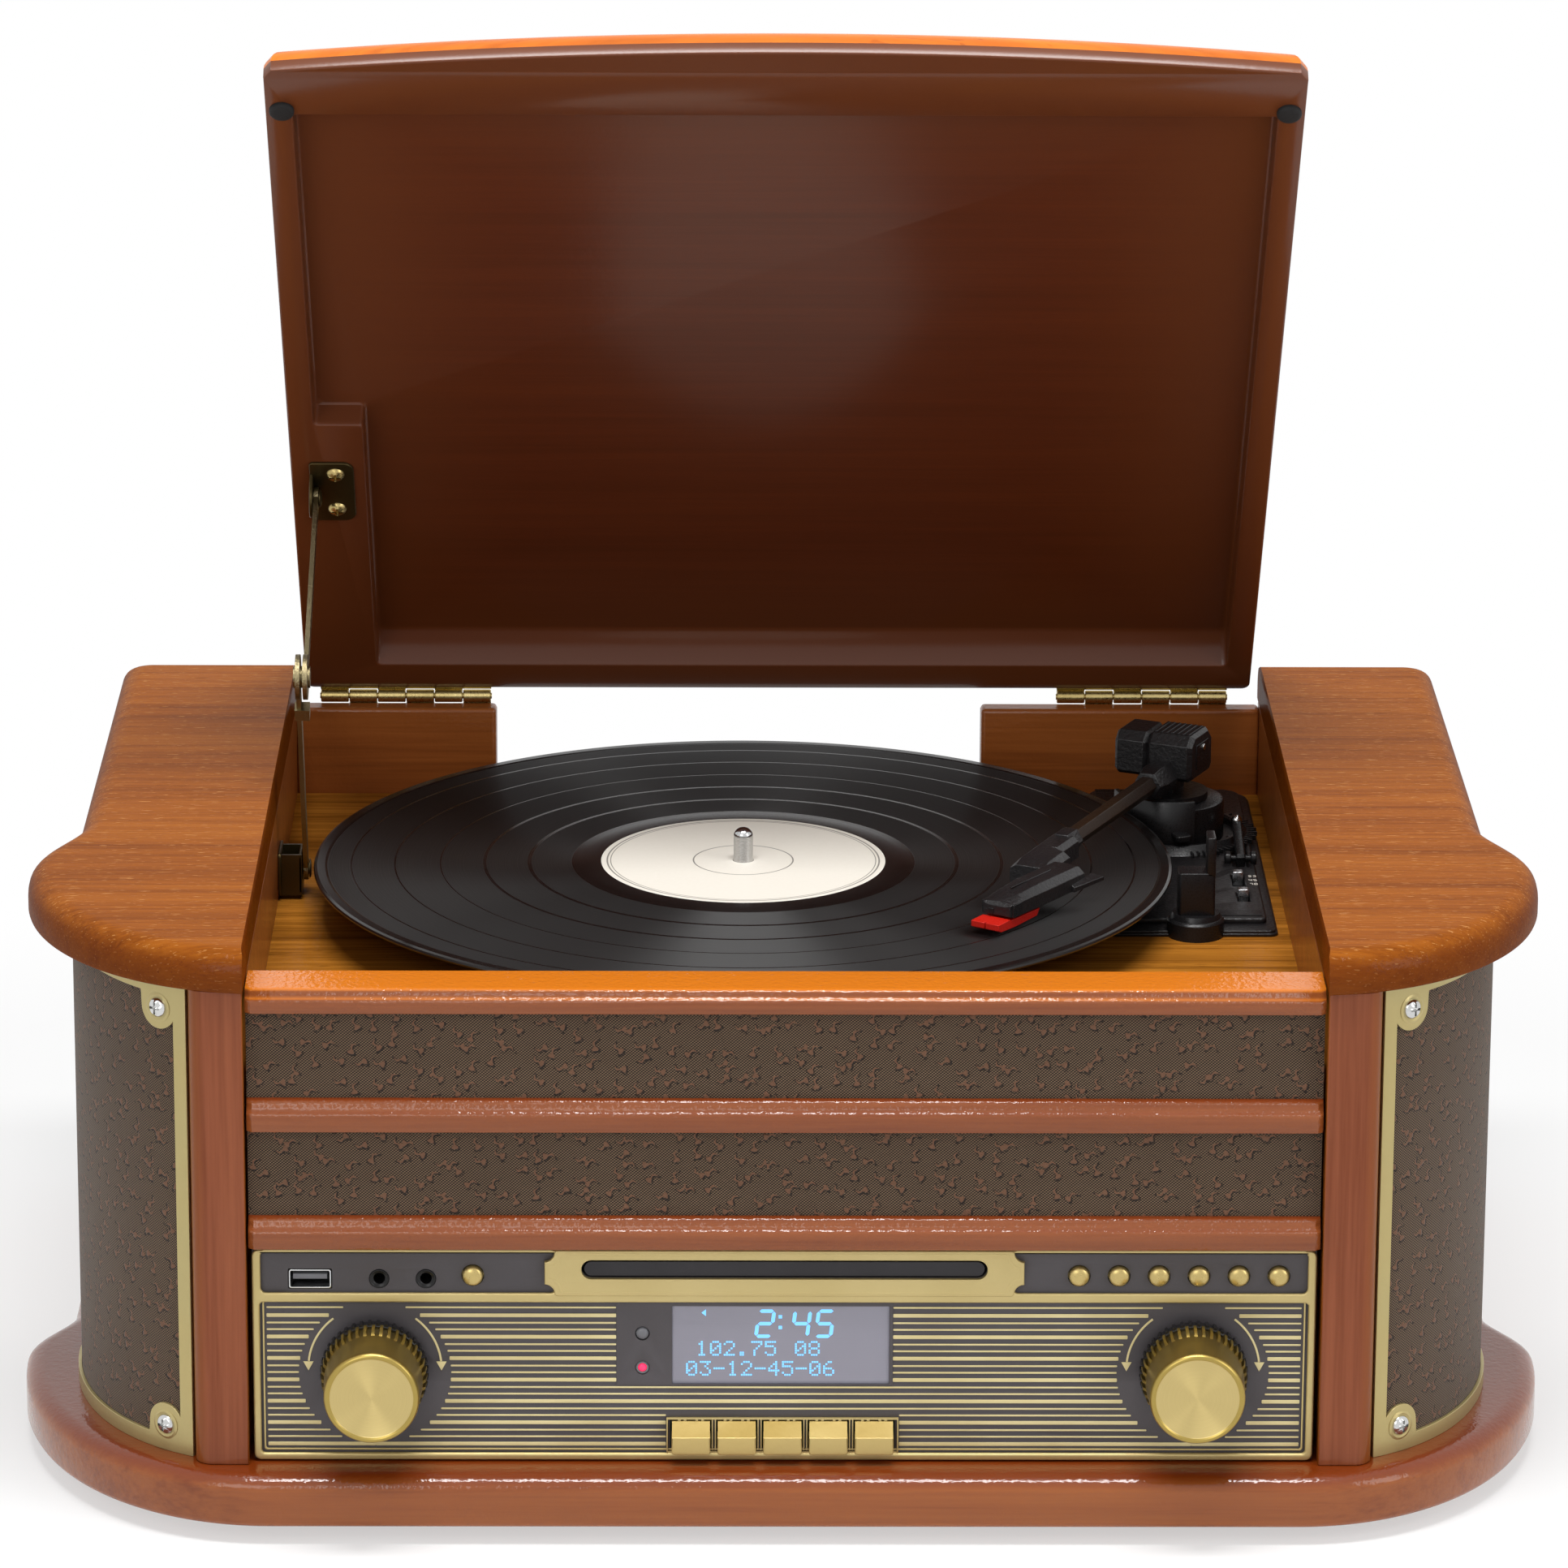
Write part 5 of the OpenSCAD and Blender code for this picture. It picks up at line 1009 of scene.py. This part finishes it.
b.add(lathe([(23.6, 3.5), (23.6, 6.3), (24.4, 7), (25.6, 7), (26.4, 6.4), (28.4, 4.6), (29.4, 3.6)]), c, 1)
b.add(lathe([(0, 18), (17.6, 18), (18.6, 17.6), (19, 16.6), (19, 3)]), c, 1)
for k in range(34):
    b.add(box(26.6, 30.2 if k % 2 else 31.2, -0.32, 0.32, 3.7, 5.4), c @ turn("Z", -78 + 4.6 * k), 2)
for x0, x1, y0, y1 in ((116, 134, 232, 237), (152, 168.6, 176, 182), (116, 126, 300, 326)):
    b.add(plate([rrect(x0, x1, y0, y1, 0.6, 2)], 0.5, 0.15), deck @ at(z=3.85), 3)
for k in range(7):
    b.add(box(117, 139, 316 + 2.0 * k, 316.9 + 2.0 * k, 3.8, 4.5), deck, 1)
# Rest post with its shelf and fin
r = at(144.6, 167, DECK_Z)
b.add(lathe([(10, 0), (10, 5.6), (9.4, 6.4), (8.9, 6.6), (8.6, 7.6), (8.2, 8.4), (0, 8.4)], 56), r, 1)
b.add(plate([rrect(-6.4, 6.4, -5, 5, 1.2, 3)], 15.9, 0.4, 2), r @ at(z=7.8), 1)
b.add(plate([rrect(3.4, 6.4, -5, 5, 0.6, 2)], 14.0, 0.4, 2), r @ at(z=22.6), 1)
# Cheeks of the lever
axle = at(*lever, DECK_Z + 5.4)
for s in (-4.6, 4.6):
    b.add(lathe([(1.25, -1.1), (2.2, -1.1), (2.5, -0.7), (2.5, 0.7), (2.2, 1.1), (1.25, 1.1)], 32),
          axle @ at(s) @ turn("Y", 90), 1)
b.obj("arm_plate", ["black", "black_smooth", "black_smooth", "black_coarse"],
      replaces="tonearm_plate", slot="black_plastic", smooth=35)
# Speed numbers beside the switch
b = Build()
for j, text in enumerate(("33", "45", "78")):
    for i, ch in enumerate(text):
        segment_digit(b, ch, 166.6 + 1.7 * i, 221.6 - 4.6 * j, 1.0, 1.9, 0.3, deck @ at(z=4.0), 0)
b.obj("speed_numbers", "label", slot="black_plastic")

# Lift wall with its tab
z0, z1 = 4.3, 21.9
wall = [(19.3, z0), (21.3, z0), (21.3, z1 - 0.5), (20.9, z1), (19.7, z1), (19.3, z1 - 0.5)]
tab = [(20.4, -7), (25.4, -7), (26.3, -6), (26.3, -2), (25.4, -1), (20.4, -1)]
Build().add(loft([[(r * cosd(a), r * sind(a), h) for r, h in wall] for a in span(190, 290, 44)]), c).add(
    plate([tab], 2.4, 0.5, 2), c @ turn("Z", -74) @ at(z=8.4)).obj(
    "lift_wall", "black_smooth", body="lift_rail", replaces="lift_rail", slot="black_plastic", smooth=40)

# Cueing lever with its axle and ball, and the two switches
L = axle @ turn("X", 15)
blade = [(-2.3, -2.3), (-1.2, -2.6), (1.6, -1.2), (24, -0.9), (24.6, 0), (24, 1.1), (1.6, 2.0),
         (-1.2, 2.6), (-2.4, 1.6)]
ball = [(0, -2)] + [(2 * cosd(a), 2 * sind(a)) for a in range(-75, 90, 15)] + [(0, 2)]
Build().add(plate([blade], 3.4, 0.6, 2), L @ side_on(-1.7)).add(
    lathe([(0, -5.4), (1.1, -5.4), (1.1, 5.4), (0, 5.4)], 20), L @ turn("Y", 90)).add(
    lathe(ball, 28), L @ at(0, 25, 0.4), 1).obj(
    "cue_lever_body", ["black_smooth", "chrome"], body="cue_lever", replaces="cue_lever",
    slot="black_plastic", smooth=35)
for name, p in (("speed_switch", speed), ("autostop_switch", auto)):
    Build().add(plate([rrect(-1.9, 1.9, -1, 2.6, 0.4, 2)], 5.2, 0.35, 2), at(*p, DECK_Z + 1.2)).obj(
        name + "_slide", "steel", body=name, replaces=name, slot="bare_steel")

# Tonearm: chamfered pivot block with comb ribs, six-sided tube, angular head shell
b = Build()
low, high = TURRET_Z + 8.5, TURRET_Z + 25.5
block_side = [(-10, low + 1.5), (-8, low), (10, low), (12, low + 2), (12, high - 4), (8, high),
              (-6.6, high), (-10, high - 3.4)]


def block(x0, x1, cham, size=1.0):
    """The pivot block's side outline from x0 to x1, drawn in at both ends."""
    y0, z0, small = 1.0, (low + high) / 2, 1 - cham / 11
    return loft([[(x, y0 + (y - y0) * k * size, z0 + (z - z0) * k * size) for y, z in block_side]
                 for x, k in ((x0, small), (x0 + cham, 1), (x1 - cham, 1), (x1, small))])


def tube(*rings):
    """Six-sided rings of the given radii at the given y, joined."""
    return loft([[(r * cosd(60 * k), y, TUBE_Z + r * sind(60 * k)) for k in range(6)] for r, y in rings])


def bar(pts, rows):
    """Points (x, z, lean, stretch) joined along rows (y, lean, stretch); z counts from the tube."""
    return loft([[(x, y - lean * d, TUBE_Z + z * (q if stretch else 1)) for x, z, lean, stretch in pts]
                 for y, d, q in rows])


b.add(block(-6.5, 11, 1.6), ARM).add(block(-19, -6.5, 1.4, 0.95), ARM)
for k in range(7):
    b.add(box(-4.8 + 2.1 * k, -3.8 + 2.1 * k, -5.8, 7.4, high - 0.4, high + 0.35), ARM)
b.add(box(10.6, 11.25, -4.5, 7.0, low + 4, high - 4), ARM, 1)
b.add(lathe([(0, -0.2), (1.2, -0.2), (1.2, 0.5), (0, 0.6)], 20),
      ARM @ at(11.2, 2, high - 6) @ turn("Y", 90), 3)
b.add(tube((6.4, -8), (6.4, -20), (5.2, -24), (4.4, -24.3)), ARM).add(tube((3.75, -20), (3.5, -106)), ARM, 2)
# Connector, then the neck that leads across to the head shell
b.add(tube((4.6, -96), (4.8, -97), (4.8, -104), (4.4, -105)), ARM)
b.add(bar([(-5.6, -4.4, 0, 0), (5.4, -4.4, 0, 0), (5.4, 1.6, 0, 1), (3.4, 3.4, 0, 1), (-3.4, 3.4, 0, 1),
           (-5.6, 1.6, 0, 1)], ((-102, 0, 0.9), (-103, 0, 1.0), (-118, 0, 1.0))), ARM)
b.add(bar([(-5.4, -4.5, 0, 0), (9.6, -4.5, 1, 0), (9.6, 1.2, 1, 1), (7.2, 3.4, 1, 1), (-3.0, 3.6, 0, 1),
           (-5.4, 1.2, 0, 1)], ((-114, 6, 0.8), (-115.5, 6, 1.0), (-134, 0, 1.0), (-139, 0, 0.6))), ARM)
b.add(loft([[(x, y, TUBE_Z + z) for x, z in (
    (-w, -skirt), (-w, top * 0.15), (2.4 - w, top), (0.0, top + ridge), (w - 2.4, top), (w, top * 0.15),
    (w, -skirt))] for y, w, top, ridge, skirt in (
    (-131, 6.6, 2.2, 0.0, 3.4), (-133, 7, 3.0, 0.3, 4.2), (-158, 7, 3.0, 0.4, 4.4),
    (-170, 6.6, 2.2, 0.4, 4.4), (-176, 5.8, 0.4, 0.2, 4.3), (-177, 5.4, -0.8, 0.1, 4.2))]), HEAD)
# Finger lift, the line on top, the cartridge and its stylus holder
low_x, low_y, tip_z = 6.6, -140, TUBE_Z - 4.2
b.add(loft([[(low_x, -127, TUBE_Z - 0.6), (low_x, -127, TUBE_Z - 3.4), (11.5, -126, TUBE_Z - 2.6),
             (11.5, -126, TUBE_Z - 1.2)],
            [(low_x, low_y, TUBE_Z - 1.6), (low_x, low_y, tip_z), (8.2, low_y, tip_z),
             (8.2, low_y, TUBE_Z - 2.4)]]), HEAD)
b.add(box(-0.35, 0.35, -168, -143, TUBE_Z + 3.25, TUBE_Z + 3.62), HEAD, 1)
b.add(loft([[(-5, y, z), (5.0, y, z), (5.0, y, TUBE_Z + 0.5), (-5, y, TUBE_Z + 0.5)]
            for y, z in ((-136, 180.8), (-139, 179.2), (-170, 179.2), (-172, 180.0))]), HEAD, 1)
b.add(box(-6.5, 6.5, -176, -163, 180, 184.6), HEAD, 1)
b.add(box(-3.0, -1.2, -177.4, -174, 180.4, 182.6), HEAD, 1)
b.obj("tonearm_body", ["black", "black_smooth", "arm_tube", "chrome"], body="tonearm",
      replaces="tonearm", slot="black_plastic", bevel=0.25, angle=24, smooth=24)
# Stylus: red wedge, split in front
b = Build()
S = HEAD @ at(0, -180, 175)
wedge = [(-4.2, 2.3), (-4.2, 4.4), (3.2, 4.6), (3.6, 4.1), (22, 4.1), (20.2, 1.7), (6, 1.2), (-2.6, 1.5)]
for x0, x1, dy in ((-5.6, -0.25, 0.0), (0.25, 5.6, 0.0), (-1.0, 1.0, 1.2)):
    b.add(loft([[(x, y + (dy if y < 0 else 0), z) for y, z in wedge] for x in (x0, x1)]), S)
b.add(lathe([(0, 0.3), (0.25, 0.35), (0.7, 1.7), (0, 1.8)], 16), S @ at(0, 2, 0), 1)
b.obj("stylus_wedge", ["red", "steel"], body="tonearm", replaces="stylus", slot="stylus_red",
      bevel=0.18, smooth=30)


# ---------------------------------------------------------------- lid
def lid_outline(i):
    """The lid from above, drawn in by i, with a bowed front."""
    y0, y1, w, r = LID_Y0 - i, LID_Y0 - LID_L + i, LID_W / 2 - i, max(0.4, 3.0 - 0.3 * i)
    pts = arc(w - r, y0 - r, r, range(0, 91, 15)) + arc(-w + r, y0 - r, r, range(90, 181, 15))
    pts += [(-w, y1 + 4)] + [(u * (w - 2.6), y1 - LID_BOW * (1 - u * u)) for u in span(-1, 1, 40)]
    return pts + [(w, y1 + 4)]


def recess(i, rear, r):
    """The L-shaped hollow: drawn in by i at the sides and front, by rear behind."""
    x0, x1, s0, s1 = -LID_W / 2 + 8.6 + i, LID_W / 2 - 8.6 - i, 14 + rear, 327 - i
    step_x, step_s = -LID_W / 2 + 26 + i, 157 + i
    corners = [(x1, s0), (x1, s1), (x0, s1), (x0, step_s), (step_x, step_s), (step_x, s0)]
    out = []
    for k, (x, s) in enumerate(corners):
        a, c = [Vector((p[0] - x, p[1] - s)).normalized() * r
                for p in (corners[k - 1], corners[(k + 1) % 6])]
        for t in (0, 0.25, 0.5, 0.75, 1):
            w0, w2 = (1 - t) ** 2, t * t
            out.append((x + w0 * a.x + w2 * c.x, LID_Y0 - (s + w0 * a.y + w2 * c.y)))
    return out


def lid_mesh():
    """The lid as two meshes on the same points: what the inside shows, and the outside."""
    outer = [[(x, y, z) for x, y in lid_outline(i)] for i, z in [
        (0.6, LID_Z), (0.15, LID_Z + 0.3), (0.0, LID_Z + 0.8), (0.0, LID_Z + 4.5)] + arris(
        8, 8.5, LID_Z + 4.5, range(12, 91, 13))]
    inner = [[(x, y, LID_Z + z) for x, y in recess(i, rear, 2.0 + i * 0.4)] for i, rear, z in (
        (0.0, 0.0, 0.0), (0.25, 0.25, 0.15), (0.5, 0.6, 0.6), (0.6, 1.2, 2.0), (1.0, 9.4, 8.8),
        (1.6, 10.4, 9.45), (2.6, 11.4, 9.7))]
    n, k = len(outer[0]), len(inner[0])
    base = n * len(outer)
    v = [p for ring in outer + inner for p in ring]
    walls, top = bands(n, len(outer)), [tuple(range(base - n, base))]
    hollow = [(a, d, c, b) for a, b, c, d in bands(k, len(inner), base)] + [
        tuple(range(len(v) - k, len(v)))]
    rims = [[Vector((p[0], p[1], 0)) for p in ring] for ring in (outer[0], inner[0])]
    ids = [*range(n), *range(base, base + k)]
    under = [tuple(ids[q] for q in tri) for tri in tessellate_polygon(rims)]
    cut = 3 * n
    return (v, walls[:cut] + hollow + under), (v, walls[cut:] + top)


def lid_uv(x, y, z):
    return x * 0.001, (LID_Y0 - y) * 0.001


inside, outside = lid_mesh()
Build().add(inside, LID, 0, lid_uv).add(outside, LID, 1, lid_uv).obj(
    "lid_panel", ["lid", "lid_top"], body="lid", replaces="lid", slot="lid_wood", smooth=30)
b = Build()
for x in (-168.8, 168.8):
    b.add(lathe([(4.2, 0), (4.2, -1.0), (3.8, -1.5), (3.0, -1.75), (0, -1.8)], 40),
          LID @ at(x, LID_Y0 - 329, LID_Z))
b.obj("bumper_dots", "rubber", body="lid", replaces="lid_bumpers", slot="foot_rubber", smooth=40)
# Stay brackets: a plate with an ear under the lid, a small clevis on the side wall
SX, SY, SZ = -166.5, 219.3, 186.4
b = Build()
for y in (SY - 8, SY + 12):
    b.add(screw_head(3.3, 1.9, 1.2), LID @ at(SX + 8, y, LID_Z - 1.2) @ turn("X", 180))
b.obj("bracket_screws", "brass", body="lid", slot="hinge_brass", smooth=35)


def cap(r, h):
    return lathe([(0, 0), (r, 0), (r, h * 0.4), (r * 0.85, h * 0.8), (r * 0.5, h), (0, h)], 28)


def pin(length):
    return lathe([(0, 0), (1.95, 0), (1.95, length), (0, length)], 24)


ear = [(SY - 8, LID_Z - 0.6), (SY - 7.4, LID_Z - 3)] + arc(SY, SZ, 7, range(190, 351, 10)) + [
    (SY + 7.4, LID_Z - 3), (SY + 8, LID_Z - 0.6)]
Build().add(plate([rrect(SX - 1.2, SX + 14.6, SY - 14, SY + 19, [1.2, 4, 4, 1.2], 6)], 1.2, 0.35, 2),
            LID @ at(z=LID_Z - 1.2)).add(plate([ear], 1.2, 0.35, 2), LID @ side_on(SX - 1.2)).add(
    pin(2.6), LID @ at(SX - 0.6, SY, SZ) @ turn("Y", 90)).add(
    cap(3.2, 0.9), LID @ at(SX + 2.15, SY, SZ) @ turn("Y", 90)).obj(
    "lid_bracket", "brass_dark", body="lid", slot="hinge_brass", smooth=40)
WX, WY, WZ, low = -HALF_BAY, 212.7, DECK_Z + 9.5, DECK_Z + 1.6
b = Build().add(plate([rrect(WY - 9, WY + 9, low, WZ + 8, 1.5)], 1.2, 0.35, 2), side_on(WX))
for y in (WY - 7, WY + 5.8):
    b.add(box(WX, -169.2, y, y + 1.2, low, WZ + 7))
b.add(plate([rrect(WY - 7, WY + 7, low, WZ + 7, 1.2)], 1.2, 0.35, 2), side_on(-170.35))
b.add(pin(2.8), at(-169.6, WY, WZ) @ turn("Y", 90)).add(cap(3.4, 0.7), at(-166.85, WY, WZ) @ turn("Y", 90))
b.obj("wall_bracket", "brass_dark", slot="hinge_brass", smooth=40)
# Hinges: six knuckles each, taken in turn by the lid and the cabinet, on leaves let into the wood
HINGE_HALF, KNUCKLE, GAP = 31.5, 10.5, 0.15
for first, name, body in ((0, "lid_knuckles", "lid"), (1, "cabinet_knuckles", "cabinet")):
    b = Build()
    for x in (-137.5 - HINGE_HALF, 134.5 - HINGE_HALF):
        for x0 in [x + KNUCKLE * k + GAP for k in range(first, 6, 2)]:
            b.add(lathe([(1.15, 0), (2.15, 0), (2.4, 0.3), (2.4, 9.9), (2.15, 10.2), (1.15, 10.2)], 36),
                  (UNIT if first else LID) @ at(x0, PIN_Y, PIN_Z) @ turn("Y", 90))
            if first:
                b.add(box(x0, x0 + 10.2, PIN_Y + 0.6, PIN_Y + 1.6, PIN_Z - 4, PIN_Z - 1.2))
            else:
                b.add(box(x0, x0 + 10.2, LID_Y0 + 0.1, PIN_Y, PIN_Z + 1.3, PIN_Z + 2.3), LID)
        if first:
            b.add(box(x, x + 2 * HINGE_HALF, PIN_Y + 0.6, PIN_Y + 1.6, PIN_Z - 15, PIN_Z - 3.4))
            b.add(lathe([(0, -0.3), (1.1, -0.3), (1.1, 63.1), (0, 63.1)], 24),
                  at(x + 0.1, PIN_Y, PIN_Z) @ turn("Y", 90))
        else:
            b.add(box(x, x + 2 * HINGE_HALF, LID_Y0 + 0.05, LID_Y0 + 1, PIN_Z + 1.3, LID_Z + 8.5), LID)
    b.obj(name, "brass", body=body, slot="hinge_brass", smooth=35,
          replaces="cabinet_hinge_leaves" if first else "lid_hinge_leaves")

# ---------------------------------------------------------------- finishes of the CAD pieces that stay
for mat, nodes in {
        "rubber": ["rubber_feet", "drive_belt"], "deck": ["deck_board"],
        "board": ["rear_cover", "front_baffle"], "stained": ["speaker_shells"],
        "black": ["speaker_drivers", "platter", "arm_yoke"], "black_smooth": ["rear_sockets"],
        "steel": ["encoders", "volume_plunger", "tuning_plunger", "cd_drive", "drive_motor",
                  "power_transformer"],
        "circuit": ["circuit_boards"], "tray": ["cd_tray"], "brass": ["motor_pulley"],
        "brass_old": ["stay_lower_arm", "stay_upper_arm"]}.items():
    for name in nodes:
        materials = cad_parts[name].data.materials
        materials.clear()
        materials.append(M[mat])

# ---------------------------------------------------------------- stage
# The floor takes the shadow near the cabinet and fades to white; the world is white where it is seen
me = bpy.data.meshes.new("floor")
n = 96
me.from_pydata([(0, 0, 0)] + ring(9, 0, n), [], [(0, k + 1, (k + 1) % n + 1) for k in range(n)])
mat = bpy.data.materials.new("floor_white")
t = Tree(mat)
far = t.step(t.vmath("LENGTH", t.node("NewGeometry").outputs["Position"]), 0.30, 0.62)
t.node("OutputMaterial", t.node(
    "MixShader", t.seen() * t.top(far, 0.55), t.node("BsdfDiffuse", (0.86, 0.86, 0.86, 1)).outputs[0],
    t.node("Emission", (1, 1, 1, 1), 1.0).outputs[0]).outputs[0])
me.materials.append(mat)
in_scene("floor", me)

world = bpy.data.worlds.new("studio")
bpy.context.scene.world = world
t = Tree(world)
t.node("OutputWorld", t.node(
    "MixShader", t.seen(), t.node("Background", (1, 1, 1, 1), 0.45).outputs[0],
    t.node("Background", (1, 1, 1, 1), 1.0).outputs[0]).outputs[0])
